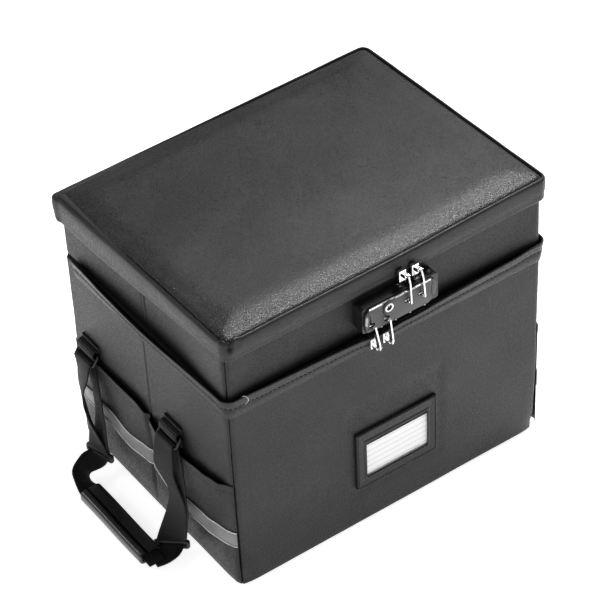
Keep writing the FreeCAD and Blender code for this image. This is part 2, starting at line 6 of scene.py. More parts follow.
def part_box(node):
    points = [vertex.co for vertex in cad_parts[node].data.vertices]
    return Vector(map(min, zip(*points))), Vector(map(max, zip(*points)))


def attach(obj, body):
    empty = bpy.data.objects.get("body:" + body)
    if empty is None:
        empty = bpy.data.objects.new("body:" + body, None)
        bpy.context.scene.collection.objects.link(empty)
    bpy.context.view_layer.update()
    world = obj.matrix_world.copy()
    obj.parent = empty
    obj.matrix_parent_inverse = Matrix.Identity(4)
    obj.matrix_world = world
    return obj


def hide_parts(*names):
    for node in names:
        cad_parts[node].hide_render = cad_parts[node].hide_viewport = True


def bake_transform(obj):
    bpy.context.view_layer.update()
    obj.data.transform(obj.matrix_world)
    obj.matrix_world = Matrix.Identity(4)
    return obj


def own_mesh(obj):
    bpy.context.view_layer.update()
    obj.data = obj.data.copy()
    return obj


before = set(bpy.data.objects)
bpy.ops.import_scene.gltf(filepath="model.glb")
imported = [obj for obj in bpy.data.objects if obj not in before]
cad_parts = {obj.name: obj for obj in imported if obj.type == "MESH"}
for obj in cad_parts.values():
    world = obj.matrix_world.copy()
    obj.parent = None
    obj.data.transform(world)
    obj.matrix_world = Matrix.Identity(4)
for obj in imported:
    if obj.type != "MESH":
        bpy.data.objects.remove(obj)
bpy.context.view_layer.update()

# The fireproof document box: coated fabric skins, padded lid, handles and lock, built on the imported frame.
# Lengths are in millimetres inside the helpers and in metres in Blender.
MM = 0.001

# ---- (width, depth, corner radius) of the cloth layers, and heights ----
BASE = (395.0, 300.0, 8.0)
TRAY = (394.0, 298.0, 8.0)
RIM = (401.0, 306.0, 10.0)
RIM_TOP = 341.0
LID_TOP = 344.0
BAND_END_Y = 128.0

# ---- camera ----
CAM_AZIMUTH = -33.851
CAM_ELEVATION = 40.847
CAM_ROLL = -2.891
CAM_PLACE = (-1.1439, -1.6970, 1.9576)
CAM_LENS = 154.32


def set_camera():
    """Camera of the main view."""
    az, el, roll = (math.radians(a) for a in (CAM_AZIMUTH, CAM_ELEVATION, CAM_ROLL))
    back = Vector((math.sin(az) * math.cos(el), -math.cos(az) * math.cos(el), math.sin(el)))
    right = Vector((math.cos(az), math.sin(az), 0.0))
    up = back.cross(right)
    x_axis = right * math.cos(roll) + up * math.sin(roll)
    y_axis = up * math.cos(roll) - right * math.sin(roll)
    data = bpy.data.cameras.new("view_camera")
    data.lens = CAM_LENS
    data.sensor_width = 36.0
    data.clip_end = 50.0
    cam = bpy.data.objects.new("view_camera", data)
    bpy.context.scene.collection.objects.link(cam)
    basis = Matrix((x_axis, y_axis, back)).transposed()
    cam.matrix_world = Matrix.Translation(CAM_PLACE) @ basis.to_4x4()
    bpy.context.scene.camera = cam


set_camera()


# ======================= materials =======================
class Nodes:
    """Small helper that builds a Principled material with procedural detail."""

    def __init__(self, name, **fixed):
        self.mat = bpy.data.materials.new(name)
        self.mat.use_nodes = True
        self.tree = self.mat.node_tree
        self.tree.nodes.clear()
        self.out = self.add("ShaderNodeOutputMaterial")
        self.bsdf = self.add("ShaderNodeBsdfPrincipled")
        self.tree.links.new(self.bsdf.outputs[0], self.out.inputs[0])
        for key, value in fixed.items():
            self.bsdf.inputs[key.replace("_", " ")].default_value = value
        self.coords = self.add("ShaderNodeTexCoord")

    def link(self, a, b):
        self.tree.links.new(a, b)

    def add(self, kind, inputs=None, **settings):
        """New node. Each input is given a value, or another node's socket to link to."""
        node = self.tree.nodes.new(kind)
        for key, value in settings.items():
            setattr(node, key, value)
        for key, value in (inputs or {}).items():
            if isinstance(value, bpy.types.NodeSocket):
                self.link(value, node.inputs[key])
            else:
                node.inputs[key].default_value = value
        return node

    def mapped(self, scale=(1, 1, 1), turn=(0, 0, 0), source="Object"):
        return self.add("ShaderNodeMapping", {"Scale": scale, "Rotation": turn,
                                              "Vector": self.coords.outputs[source]}).outputs[0]

    def noise(self, scale, detail=2.0, rough=0.5, vector=None):
        inputs = {"Scale": scale, "Detail": detail, "Roughness": rough,
                  "Vector": vector or self.coords.outputs["Object"]}
        return self.add("ShaderNodeTexNoise", inputs).outputs["Fac"]

    def cells(self, scale):
        return self.add("ShaderNodeTexVoronoi", {"Scale": scale,
                                                 "Vector": self.coords.outputs["Object"]}).outputs["Distance"]

    def wave(self, scale, vector, direction="X"):
        return self.add("ShaderNodeTexWave", {"Scale": scale, "Vector": vector},
                        bands_direction=direction).outputs["Fac"]

    def math(self, kind, a, b):
        return self.add("ShaderNodeMath", {0: a, 1: b}, operation=kind).outputs[0]

    def ramp(self, fac, low, high, at=(0.3, 0.7)):
        node = self.add("ShaderNodeValToRGB", {0: fac})
        for element, position, colour in zip(node.color_ramp.elements, at, (low, high)):
            element.position = position
            element.color = (*colour, 1)
        return node.outputs[0]

    def remap(self, fac, low, high, at=(0.0, 1.0)):
        return self.add("ShaderNodeMapRange", {"From Min": at[0], "From Max": at[1], "To Min": low,
                                               "To Max": high,
                                               "Value": fac}).outputs[0]

    def bump(self, height, distance, strength=1.0, under=None):
        inputs = {"Distance": distance, "Strength": strength, "Height": height}
        if under is not None:
            inputs["Normal"] = under
        return self.add("ShaderNodeBump", inputs).outputs[0]

    def colour(self, socket):
        self.link(socket, self.bsdf.inputs["Base Color"])

    def roughness(self, socket):
        self.link(socket, self.bsdf.inputs["Roughness"])

    def normal(self, socket):
        self.link(socket, self.bsdf.inputs["Normal"])


def grey(v):
    return (v, v, v)


def coated_fabric(name, tone, rough=0.5, grain=0.00018, sparkle=1.0, spec=0.42):
    """Coated polyester: a fine pebbled grain over a faint plain weave, with slight mottling."""
    m = Nodes(name, Specular_IOR_Level=spec)
    mottle = m.noise(14.0, 3.0, 0.6)
    speck = m.noise(620.0, 2.0, 0.7)
    mix = m.math("ADD", m.math("MULTIPLY", mottle, 0.4), m.math("MULTIPLY", speck, 0.6))
    m.colour(m.ramp(mix, grey(tone * (1 - 0.45 * sparkle)), grey(tone * (1 + 0.55 * sparkle)), (0.36, 0.64)))
    m.roughness(m.remap(m.noise(520.0, 2.0, 0.7), rough - 0.14, rough + 0.16, (0.34, 0.66)))
    weave_a = m.wave(330.0, m.mapped(turn=(0.0, 0.6, 0.8)), "X")
    grains = m.math("ADD", m.noise(760.0, 3.0, 0.7), m.math("MULTIPLY", m.cells(700.0), 0.6))
    first = m.bump(weave_a, 0.00002, 0.35)
    m.normal(m.bump(grains, grain, 0.9, first))
    return m.mat


def webbing_material(name, tone, rough=0.62):
    """Woven webbing: ribs across the strap and a diagonal twill, from the strap's own u and v."""
    m = Nodes(name, Sheen_Weight=0.05, Sheen_Roughness=0.4, Specular_IOR_Level=0.28)
    uv = m.mapped(source="UV")
    twill = m.mapped(turn=(0.0, 0.0, 0.9), source="UV")
    ribs = m.wave(150.0, uv, "Y")
    diagonal = m.wave(190.0, twill, "X")
    height = m.math("ADD", ribs, m.math("MULTIPLY", diagonal, 0.8))
    # The weave pattern is painted into the colour: darker in the weave's low parts as painted shade in its
    # hollows, lighter on the ribs.
    m.colour(m.ramp(height, grey(tone * 0.45), grey(tone * 1.3), (0.2, 1.5)))
    m.roughness(m.remap(m.noise(300.0), rough - 0.08, rough + 0.08))
    m.normal(m.bump(height, 0.00045, 0.9))
    return m.mat


def metal(name, tone, rough, brushed=0.0):
    """Metal with fine brushing and a little handling wear."""
    m = Nodes(name, Metallic=1.0)
    wear = m.noise(160.0, 4.0, 0.6)
    m.colour(m.ramp(wear, grey(tone * 0.86), grey(min(1.0, tone * 1.08)), (0.3, 0.75)))
    m.roughness(m.remap(wear, rough * 0.75, rough * 1.3))
    lines = m.noise(900.0, 2.0, 0.6, m.mapped((0.06, 1.0, 1.0)))
    m.normal(m.bump(lines, 0.00002 + brushed * 0.00006, 0.4))
    return m.mat


def plastic(name, tone, rough=0.35, coat=0.0, spec=0.5):
    """Moulded plastic with a fine spark-eroded texture."""
    m = Nodes(name, Coat_Weight=coat, Coat_Roughness=0.12, Specular_IOR_Level=spec)
    blot = m.noise(90.0, 3.0, 0.6)
    m.colour(m.ramp(blot, grey(tone * 0.85), grey(tone * 1.15)))
    m.roughness(m.remap(m.noise(260.0, 2.0), rough - 0.06, rough + 0.08))
    m.normal(m.bump(m.cells(2600.0), 0.00003, 0.6))
    return m.mat


def board_material(name):
    """Brown fibreboard with long fibres."""
    m = Nodes(name, Specular_IOR_Level=0.2)
    fibre = m.noise(260.0, 4.0, 0.7, m.mapped((0.2, 1.0, 1.0)))
    m.colour(m.ramp(fibre, (0.16, 0.10, 0.055), (0.30, 0.20, 0.12)))
    m.roughness(m.remap(fibre, 0.75, 0.95))
    m.normal(m.bump(fibre, 0.0002, 0.5))
    return m.mat


def lining_material(name, tone):
    """Woven lining: a plain weave with a soft silver-grey tone."""
    m = Nodes(name, Sheen_Weight=0.2, Sheen_Roughness=0.4, Specular_IOR_Level=0.35)
    a = m.wave(420.0, m.mapped(turn=(0.3, 0.0, 0.0)), "X")
    b = m.wave(420.0, m.mapped(turn=(0.0, 0.3, 0.0)), "Z")
    c = m.wave(420.0, m.mapped(), "Y")
    weave = m.math("ADD", m.math("ADD", a, b), c)
    m.colour(m.ramp(m.noise(40.0, 3.0), grey(tone * 0.85), grey(tone * 1.15)))
    m.roughness(m.remap(m.noise(120.0), 0.55, 0.7))
    m.normal(m.bump(weave, 0.00008, 0.5))
    return m.mat


FABRIC = coated_fabric("coated_fabric_charcoal", 0.0115, 0.46, grain=0.0003, sparkle=1.3, spec=0.27)
PAD_FABRIC = coated_fabric("coated_fabric_pad", 0.0105, 0.315, grain=0.00045, sparkle=1.5)
HEM_FABRIC = coated_fabric("coated_fabric_hem", 0.0125, 0.42, spec=0.28)
DARK_FABRIC = coated_fabric("coated_fabric_shadow", 0.012, 0.7)
# Stitch thread: partly its own black, and partly painted shade of the needle holes and recess round each
# stitch, so it is darker than the cloth and has almost no shine.
THREAD_AND_HOLE_SHADE = plastic("black_thread_and_painted_hole_shade", 0.002, 0.9, spec=0.05)
PALE_THREAD = plastic("loose_thread", 0.45, 0.6)
WEBBING = webbing_material("black_webbing", 0.006)
ZIP_TAPE = webbing_material("zip_tape_black", 0.014, 0.75)
LINING = lining_material("grey_lining", 0.10)
BOARD = board_material("fibreboard")
CHROME = metal("chrome", 0.72, 0.12)
STEEL = metal("bright_steel", 0.5, 0.3, 0.5)
DARK_METAL = metal("dark_plated_wire", 0.06, 0.38, 0.2)
BLACK_PLASTIC = plastic("black_plastic", 0.008, 0.42)
LOCK_GREY = metal("lock_satin_grey", 0.075, 0.40, 1.0)
LOCK_PALE = metal("lock_pale_edge", 0.30, 0.35, 0.5)


def reflective_material(name):
    """Grey retroreflective tape: fine glass-bead sparkle over a tight weave."""
    m = Nodes(name, Metallic=0.15, Specular_IOR_Level=0.45)
    beads = m.cells(3800.0)
    m.colour(m.ramp(m.math("ADD", m.noise(60.0, 3.0), m.math("MULTIPLY", beads, 0.3)), grey(0.13),
                    grey(0.21)))
    m.roughness(m.remap(m.noise(500.0), 0.38, 0.52))
    m.normal(m.bump(beads, 0.00004, 0.6))
    return m.mat


def card_material(name):
    """White index card with faint ruled lines."""
    m = Nodes(name, Specular_IOR_Level=0.25)
    lines = m.wave(44.0, m.mapped(), "Z")
    m.colour(m.ramp(lines, grey(0.70), grey(0.93), (0.02, 0.10)))
    m.roughness(m.remap(m.noise(300.0), 0.6, 0.75))
    m.normal(m.bump(m.noise(900.0), 0.00002, 0.4))
    return m.mat


def film_material(name):
    """Clear window film with faint ripples."""
    m = Nodes(name, Roughness=0.08, Transmission_Weight=1.0, IOR=1.08, Alpha=0.18)
    m.colour(m.ramp(m.noise(30.0), grey(0.93), grey(0.98)))
    m.roughness(m.remap(m.noise(60.0), 0.05, 0.14))
    m.normal(m.bump(m.noise(24.0), 0.0003, 0.3))
    return m.mat


REFLECTIVE = reflective_material("reflective_grey")
CARD = card_material("ruled_card")
FILM = film_material("clear_film")
GRIP_BLACK = plastic("grip_black", 0.016, 0.24, coat=0.3)
# Pale material: the printed marks on the number dials (their own colour), and painted highlight on the cords
# along the reflective tape's lit edges.
PALE_PRINT_AND_EDGE_HIGHLIGHT = plastic("pale_print_and_painted_edge_highlight", 0.78, 0.5)


# ======================= mesh helpers =======================
def piece(name, shape, material, body, replaces=(), smooth=True, sharp=0):
    """New object riding on a body, in place of the CAD nodes in replaces. Its shape is (points in mm, faces),
    with (u, v) for each point as a third member on webbing."""
    verts, faces = shape[:2]
    mesh = bpy.data.meshes.new(name)
    mesh.from_pydata([tuple(c * MM for c in v) for v in verts], [], faces)
    mesh.validate(clean_customdata=False)
    if smooth:
        mesh.polygons.foreach_set("use_smooth", [True] * len(mesh.polygons))
    if sharp:
        mesh.set_sharp_from_angle(angle=math.radians(sharp))
    if len(shape) > 2:
        layer = mesh.uv_layers.new(name="strap")
        for loop in mesh.loops:
            layer.data[loop.index].uv = shape[2][loop.vertex_index]
    mesh.materials.append(material)
    obj = bpy.data.objects.new(name, mesh)
    bpy.context.scene.collection.objects.link(obj)
    if body:
        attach(obj, body)
    if replaces:
        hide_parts(*replaces)
    return obj


def grid(columns, flip=False):
    """Vertices and faces of a surface through columns of equal length."""
    rows = len(columns[0])
    verts = [p for column in columns for p in column]
    faces = []
    for a in range(0, (len(columns) - 1) * rows, rows):
        for j in range(a, a + rows - 1):
            quad = (j, j + rows, j + rows + 1, j + 1)
            faces.append(quad[::-1] if flip else quad)
    return verts, faces


def shell(columns, inner):
    """Closed skin: an outer grid, an inner grid behind it, and the edges between them."""
    outer_v, outer_f = grid(columns)
    inner_v, inner_f = grid(inner, flip=True)
    shift = len(outer_v)
    faces = outer_f + [tuple(i + shift for i in f) for f in inner_f]
    rows = len(columns[0])
    top = rows - 1
    end = (len(columns) - 1) * rows
    for a in range(0, end, rows):
        b = a + rows
        faces.append((a, a + shift, b + shift, b))
        faces.append((a + top, b + top, b + top + shift, a + top + shift))
    for j in range(top):
        faces.append((j, j + 1, j + 1 + shift, j + shift))
        faces.append((end + j, end + j + shift, end + j + 1 + shift, end + j + 1))
    return outer_v + inner_v, faces


def tube(sections, closed=False):
    """Solid swept through closed cross-sections, with flat ends unless it joins up."""
    count = len(sections[0])
    verts = [p for s in sections for p in s]
    faces = []
    last = len(sections) if closed else len(sections) - 1
    for i in range(last):
        a = i * count
        b = ((i + 1) % len(sections)) * count
        for j in range(count):
            k = (j + 1) % count
            faces.append((a + j, a + k, b + k, b + j))
    if not closed:
        faces.append(tuple(range(count))[::-1])
        end = (len(sections) - 1) * count
        faces.append(tuple(end + j for j in range(count)))
    return verts, faces


def merged(parts):
    """One vertex list and face list from several."""
    verts = []
    faces = []
    for v, f in parts:
        shift = len(verts)
        verts += list(v)
        faces += [tuple(i + shift for i in face) for face in f]
    return verts, faces


def through(points, steps=8):
    """Smooth curve through points."""
    out = []
    pts = [Vector(p) for p in points]
    for i in range(len(pts) - 1):
        p0 = pts[max(i - 1, 0)]
        p1, p2 = pts[i], pts[i + 1]
        p3 = pts[min(i + 2, len(pts) - 1)]
        for k in range(steps):
            t = k / steps
            out.append(0.5 * ((2 * p1) + (p2 - p0) * t + (2 * p0 - 5 * p1 + 4 * p2 - p3) * t * t
                              + (3 * p1 - 3 * p2 + p3 - p0) * t ** 3))
    out.append(pts[-1])
    return out


def circle(count):
    """(cos, sin) of evenly spaced angles round a full turn."""
    return [(math.cos(2 * math.pi * k / count), math.sin(2 * math.pi * k / count)) for k in range(count)]


def heading(line, i):
    """Direction of a line at its point i."""
    return Vector(line[min(i + 1, len(line) - 1)]) - Vector(line[max(i - 1, 0)])


def rounded_outline(points, radius, steps=4):
    """Outline with its corners rounded."""
    out = []
    n = len(points)
    for i, p in enumerate(points):
        p = Vector(p)
        a, b = Vector(points[i - 1]), Vector(points[(i + 1) % n])
        r = min(radius, (a - p).length * 0.45, (b - p).length * 0.45)
        start, end = p + (a - p).normalized() * r, p + (b - p).normalized() * r
        for k in range(steps + 1):
            t = k / steps
            out.append(tuple(start * (1 - t) ** 2 + p * (2 * t * (1 - t)) + end * t * t))
    return out


def pipe(points, radius, sides=8):
    """Round cord of even thickness along points."""
    pts = [Vector(p) for p in points]
    sections = []
    for i, p in enumerate(pts):
        along = heading(pts, i).normalized()
        side = along.cross(Vector((0.13, 0.21, 0.97))).normalized()
        up = along.cross(side)
        sections.append([tuple(p + side * radius * c + up * radius * d) for c, d in circle(sides)])
    return tube(sections)


def smooth(t):
    t = min(1.0, max(0.0, t))
    return t * t * (3 - 2 * t)


def bell(v, centre, half):
    """1 at the centre, falling smoothly to 0 at half away."""
    return 1 - smooth(abs(v - centre) / half)


def curve_between(points, t):
    """Smooth interpolation of (position, value) pairs."""
    for (a, va), (b, vb) in zip(points, points[1:]):
        if t <= b:
            return va + (vb - va) * smooth((t - a) / (b - a))
    return points[-1][1]


class Plan:
    """Rounded rectangle walked from the middle of the rear, by way of the left, the front and the right."""

    def __init__(self, width, depth, radius):
        self.w, self.d, self.r = width, depth, radius
        self.half_rear = width / 2 - radius
        self.arc = math.pi * radius / 2
        self.side = depth - 2 * radius
        self.front = width - 2 * radius
        lengths = [self.half_rear, self.arc, self.side, self.arc, self.front, self.arc, self.side, self.arc,
                   self.half_rear]
        self.starts = [sum(lengths[:i]) for i in range(len(lengths) + 1)]
        self.length = self.starts[-1]

    def left(self, y):
        return self.starts[2] + (self.d / 2 - self.r) - y

    def at_front(self, x):
        return self.starts[4] + x + self.w / 2 - self.r

    def right(self, y):
        return self.starts[6] + y + self.d / 2 - self.r

    def rear(self, x):
        return -x if x <= 0 else self.length - x

    def at(self, s):
        """(x, y, nx, ny) at distance s."""
        s = s % self.length
        w, d, r = self.w / 2, self.d / 2, self.r
        i = max(k for k in range(9) if self.starts[k] <= s + 1e-9)
        t = s - self.starts[i]
        if i == 0:
            return -t, d, 0.0, 1.0
        if i == 2:
            return -w, d - r - t, -1.0, 0.0
        if i == 4:
            return -w + r + t, -d, 0.0, -1.0
        if i == 6:
            return w, -d + r + t, 1.0, 0.0
        if i == 8:
            return w - r - t, d, 0.0, 1.0
        centre = {1: (-w + r, d - r), 3: (-w + r, -d + r), 5: (w - r, -d + r), 7: (w - r, d - r)}[i]
        first = {1: 90, 3: 180, 5: 270, 7: 0}[i]
        angle = math.radians(first) + t / r
        nx, ny = math.cos(angle), math.sin(angle)
        return centre[0] + r * nx, centre[1] + r * ny, nx, ny

    def off(self, s, out, z):
        """Point at distance s and height z, standing out from the plan."""
        x, y, nx, ny = self.at(s)
        return (x + nx * out, y + ny * out, z)

    def stations(self, s0, s1, step=4.0, fine=(0.0,), corner_step=1.6):
        """Distances from s0 to s1: closer together in the corners and next to the ends."""
        values = set()
        s = s0
        while s < s1:
            values.add(round(s, 4))
            inside = self.starts[1:9]
            in_corner = any(a - 3 < (s % self.length) < b + 3 for a, b in zip(inside[0::2], inside[1::2]))
            s += corner_step if in_corner else step
        values.add(round(s1, 4))
        for f in fine:
            values.add(round(s0 + f, 4))
            values.add(round(s1 - f, 4))
        ordered = sorted(values)
        kept = [ordered[0]]
        for v in ordered[1:]:
            if v - kept[-1] > 0.12:
                kept.append(v)
        kept[-1] = round(s1, 4)
        return kept


SEAM_STEPS = (0.0, 0.25, 0.6, 1.0, 1.5, 2.1, 2.8, 3.8, 5.2, 7.0)


def seam_roll(d):
    """How far a panel's edge turns in towards its seam, d away from it."""
    if d >= 3.4:
        return 0.0
    return -2.3 * (1 - math.sqrt(max(0.0, 1 - (1 - d / 3.4) ** 2)))


def swell(x, y, z, size, amount, seed=0.0):
    """Gentle unevenness of stretched cloth."""
    return amount * noise.noise(Vector((x / size + seed, y / size - seed, z / size + 0.5 * seed)))


CLOTH_THICK = 0.6
CREASE_CLEAR = 7.5
CREASE_STEPS = (0.0, 0.8, 1.6, 2.2, 2.7, 3.1, 3.5, 4.0, 4.8, 6.2)


def skin_panel(name, plan, s0, s1, profile, relief, body, replaces):
    """Panel of cloth between two seams. The profile holds (offset, z, depth of relief) from bottom to top."""
    outer = []
    inner = []
    values = set(plan.stations(s0, s1, 4.0, SEAM_STEPS))
    for middle in (plan.left(0.0), plan.right(0.0)):
        if s0 < middle < s1:
            values = {v for v in values if abs(v - middle) > CREASE_CLEAR}
            values |= {middle + side * d for side in (-1, 1) for d in CREASE_STEPS}
    for s in sorted(values):
        x, y, nx, ny = plan.at(s)
        roll = seam_roll(s - s0) + seam_roll(s1 - s)
        column = []
        behind = []
        for offset, z, depth in profile:
            o = offset + roll + relief(x, y, z, nx, ny) * depth
            column.append(plan.off(s, o, z))
            behind.append(plan.off(s, o - CLOTH_THICK, z + (CLOTH_THICK * 0.8 if z < 3 else 0)))
        outer.append(column)
        inner.append(behind)
    return piece(name, shell(outer, inner), FABRIC, body, replaces)


def wall_profile(z0, z1, foot, head, step=6.0):
    """(offset, z, depth of relief) up a wall with a rounded foot and a rounded head."""
    rows = []
    for i in range(9):
        a = math.pi / 2 * i / 8
        rows.append((-foot + foot * math.sin(a), z0 + foot - foot * math.cos(a), i / 8))
    rows.insert(0, (-foot - 5.0, z0 + 0.1, 0.0))
    count = max(2, int((z1 - z0 - foot - head) / step))
    for i in range(1, count):
        rows.append((0.0, z0 + foot + (z1 - z0 - foot - head) * i / count, 1.0))
    for i in range(5):
        a = math.pi / 2 * i / 4
        rows.append((-head + head * math.cos(a), z1 - head + head * math.sin(a), 1 - i / 4))
    return rows


def four_panels(prefix, plan, profile, relief, body):
    """The front, rear, left and right panels of a layer, sewn together at four upright seams."""
    seams = [plan.starts[k] + plan.arc / 2 for k in (1, 3, 5, 7)]
    spans = {"left": (seams[0], seams[1]), "front": (seams[1], seams[2]), "right": (seams[2], seams[3]),
             "rear": (seams[3] - plan.length, seams[0])}
    for side, (s0, s1) in spans.items():
        skin_panel("%s_%s_skin" % (prefix, side), plan, s0, s1, profile, relief, body,
                   ["%s_%s_cover" % (prefix, side)])


def stitches(name, path, body, length=2.8, gap=1.7, width=0.9):
    """Row of sewn stitches along a path of (point, outward normal)."""
    parts = []
    travelled = 0.0
    next_at = gap
    for (p, n), (q, _) in zip(path, path[1:]):
        p, q, n = Vector(p), Vector(q), Vector(n).normalized()
        run = (q - p).length
        if run < 1e-6:
            continue
        along = (q - p) / run
        side = along.cross(n).normalized()
        while next_at < travelled + run:
            c = p + along * (next_at - travelled) + n * 0.08
            ends = []
            for t, lift, w in ((-0.5, -0.25, 0.6), (-0.3, 0.26, 1.0), (0.3, 0.26, 1.0), (0.5, -0.25, 0.6)):
                e = c + along * (t * length) + n * lift
                h = side * (width * 0.5 * w)
                up = n * (0.2 * w)
                ends.append([tuple(e + h), tuple(e + up), tuple(e - h), tuple(e - up)])
            parts.append(tube(ends))
            next_at += length + gap
        travelled += run
    return piece(name, merged(parts), THREAD_AND_HOLE_SHADE, body)


# ======================= base, tray =======================
BASE_PLAN = Plan(*BASE)
TRAY_PLAN = Plan(*TRAY)
RIM_PLAN = Plan(*RIM)


def side_crease(y, gap, depth):
    """Fold lines of a side that closes flat: two grooves with a soft ridge between them."""
    total = 0.0
    for line in (-gap / 2, gap / 2):
        total -= depth * math.exp(-((y - line) / 0.8) ** 2)
    return total + depth * 0.35 * math.exp(-(y / (gap * 0.35)) ** 2)


def corner_in(x, y, z):
    """How far the base's corners draw in towards the floor, where the cloth rounds off."""
    along = max(BASE[0] / 2 - abs(x), BASE[1] / 2 - abs(y))
    if along > 26.0:
        return 0.0
    wide = 5.5 * ((26.0 - along) / 23.7) ** 2.2 * smooth((30.0 - z) / 30.0)
    return wide + (1.8 * ((16.0 - along) / 13.7) ** 1.4 * smooth((110.0 - z) / 90.0) if along < 16.0 else 0.0)


def base_relief(x, y, z, nx, ny):
    """Unevenness of the base's walls."""
    o = swell(x, y, z, 85.0, 0.7, 3.1) + swell(x, y, z, 30.0, 0.18, 7.7)
    if abs(nx) > 0.9:
        o += side_crease(y, 1.4, 1.0)
        o += 0.8 * bell(abs(y), 70.0, 70.0) * bell(z, 200.0, 60.0)
    o -= 0.5 * bell(z, 0.0, 20.0)
    if ny < -0.9:
        near = smooth((66.0 - abs(x - 4.7)) / 9.0) * smooth((67.0 - abs(z - 107.0)) / 9.0)
        o += (-0.9 - o) * near
    return o - corner_in(x, y, z)


def tray_relief(x, y, z, nx, ny):
    """Unevenness of the tray's walls, which pull in a little between the corners."""
    o = swell(x, y, z, 70.0, 0.5, 11.3) + swell(x, y, z, 26.0, 0.2, 5.2)
    if abs(nx) > 0.9:
        o -= 3.4 * smooth((140.0 - abs(y)) / 90.0)
        o += side_crease(y, 6.0, 1.3)
    elif ny < -0.9:
        o -= 2.4 * smooth((197.0 - abs(x)) / 42.0)
    return o


four_panels("base", BASE_PLAN, wall_profile(0.0, 256.0, 6.0, 2.0), base_relief, "base")
four_panels("tray", TRAY_PLAN, wall_profile(257.2, 334.5, 7.0, 1.5, 5.0), tray_relief, "tray")


# ======================= band over the lower zip =======================
BAND_LOW = 241.0


def band_lean(s):
    """How far the band's free edge stands off the wall at distance s."""
    x, y, nx, ny = BASE_PLAN.at(s)
    if ny < -0.9:
        return 4.4 + 3.6 * smooth(1 - abs(x) / 185.0) + 1.2 * bell(x, 40.0, 130.0)
    if abs(nx) > 0.9:
        return 4.4 + 4.2 * smooth(1 - abs(y - 10) / 150.0)
    return 4.4


def band_top(s):
    """Height of the band's free edge."""
    x, y, nx, ny = BASE_PLAN.at(s)
    z = 264.0
    if ny < -0.9:
        z += 2.0 * smooth((abs(x) - 150.0) / 35.0) - 1.2 * bell(x, 20.0, 120.0)
        z -= 2.6 * bell(x, -16.0, 32.0)
    elif abs(nx) > 0.9:
        z += 1.5 * smooth((-y - 100.0) / 40.0) - 0.8 * bell(y, 0.0, 90.0)
    else:
        z += 2.0
    return z + swell(x, y, 0.0, 45.0, 0.5, 2.0)


def band_section(s):
    """Cross-section of the band: turned hem below, free rolled edge on top, stitched along its middle."""
    lean = band_lean(s)
    top = band_top(s)
    stitch = top - 11.0
    mid = 1.9 + (lean - 1.9) * 0.45
    face = [(0.2, BAND_LOW + 0.9), (0.9, BAND_LOW), (1.7, BAND_LOW + 0.5), (2.0, BAND_LOW + 2.0),
            (2.3 + (mid - 2.3) * 0.4, BAND_LOW + 6.0), (mid + 0.2, stitch - 1.8), (mid - 0.55, stitch),
            (mid + 0.3, stitch + 1.6), (mid + (lean - mid) * 0.55, stitch + 5.0),
            (lean - 0.1, top - 2.2), (lean + 0.1, top - 1.1), (lean - 0.25, top - 0.3), (lean - 1.0, top),
            (lean - 1.7, top - 0.4), (lean - 2.0, top - 1.4)]
    back = [(mid - 1.6, stitch + 2.0), (0.9, stitch - 3.0), (0.4, BAND_LOW + 6.0)]
    return face + back


def make_band():
    s0 = BASE_PLAN.left(BAND_END_Y)
    s1 = BASE_PLAN.right(BAND_END_Y)
    sections = []
    path = []
    values = BASE_PLAN.stations(s0, s1, 4.0, (0.0, 0.7, 1.6, 2.8))
    for s in values:
        x, y, nx, ny = BASE_PLAN.at(s)
        end = min(1.0, (min(s - s0, s1 - s) + 0.4) / 2.8)
        pinch = math.sqrt(max(0.0, 1 - (1 - end) ** 2))
        wave = swell(x, y, 0.0, 40.0, 0.35, 9.0)
        ring = []
        for o, z in band_section(s):
            o = 0.3 + (o - 0.3) * (0.55 + 0.45 * pinch) + wave * smooth((z - BAND_LOW) / 12.0)
            z = 253.0 + (z - 253.0) * (0.75 + 0.25 * pinch)
            ring.append(BASE_PLAN.off(s, o, z))
        sections.append(ring)
        if 3 < s - s0 and s < s1 - 3:
            path.append((ring[6], (nx, ny, -0.2)))
    piece("lower_zip_band", tube(sections), HEM_FABRIC, "base", ["mid_band"])
    stitches("lower_zip_band_stitches", path, "base", length=3.2, gap=2.0, width=1.5)
    loose = [(-183.2, -156.9, 270.5), (-180.4, -158.4, 269.5), (-178.6, -159.3, 266.8),
             (-178.2, -159.2, 263.6),
             (-179.4, -158.3, 260.8), (-181.4, -157.3, 259.2)]
    piece("loose_thread_end", pipe(through(loose, 4), 0.42, 6), PALE_THREAD, "base")


make_band()


# ======================= lid =======================
LID_TURN = 0.010


def lid_settle(p):
    """The lid sits turned on the tray and a little warped: its front right corner stands highest."""
    x, y, z = p
    u, v = x / 196.0, y / 148.0
    lift = 0.9 + 2.8 * u - 2.0 * v + 1.6 * bell(y, 0.0, 130.0) * smooth(-u * 1.4 - 0.3)
    lift -= 1.8 * bell(x, 10.0, 150.0) * smooth(-v * 1.6 - 0.4)
    return (x - LID_TURN * y, y + LID_TURN * x, z + lift * smooth((z - 304.0) / 30.0))


def settled_above(p, floor):
    """A settled point, kept above the lid's board."""
    x, y, z = lid_settle(p)
    return (x, y, max(z, floor))


def rim_low(s):
    """Height of the rim's lower edge. It climbs towards the front, and the rear has only a strip."""
    x, y = RIM_PLAN.at(s)[:2]
    if y > 143.0:
        return 306.0 + 24.0 * smooth((y - 145.0) / 7.5)
    side = 306.0 + 11.5 * smooth((110.0 - y) / 260.0)
    return side if x < 0 else 310.0 + 7.5 * smooth((110.0 - y) / 220.0)


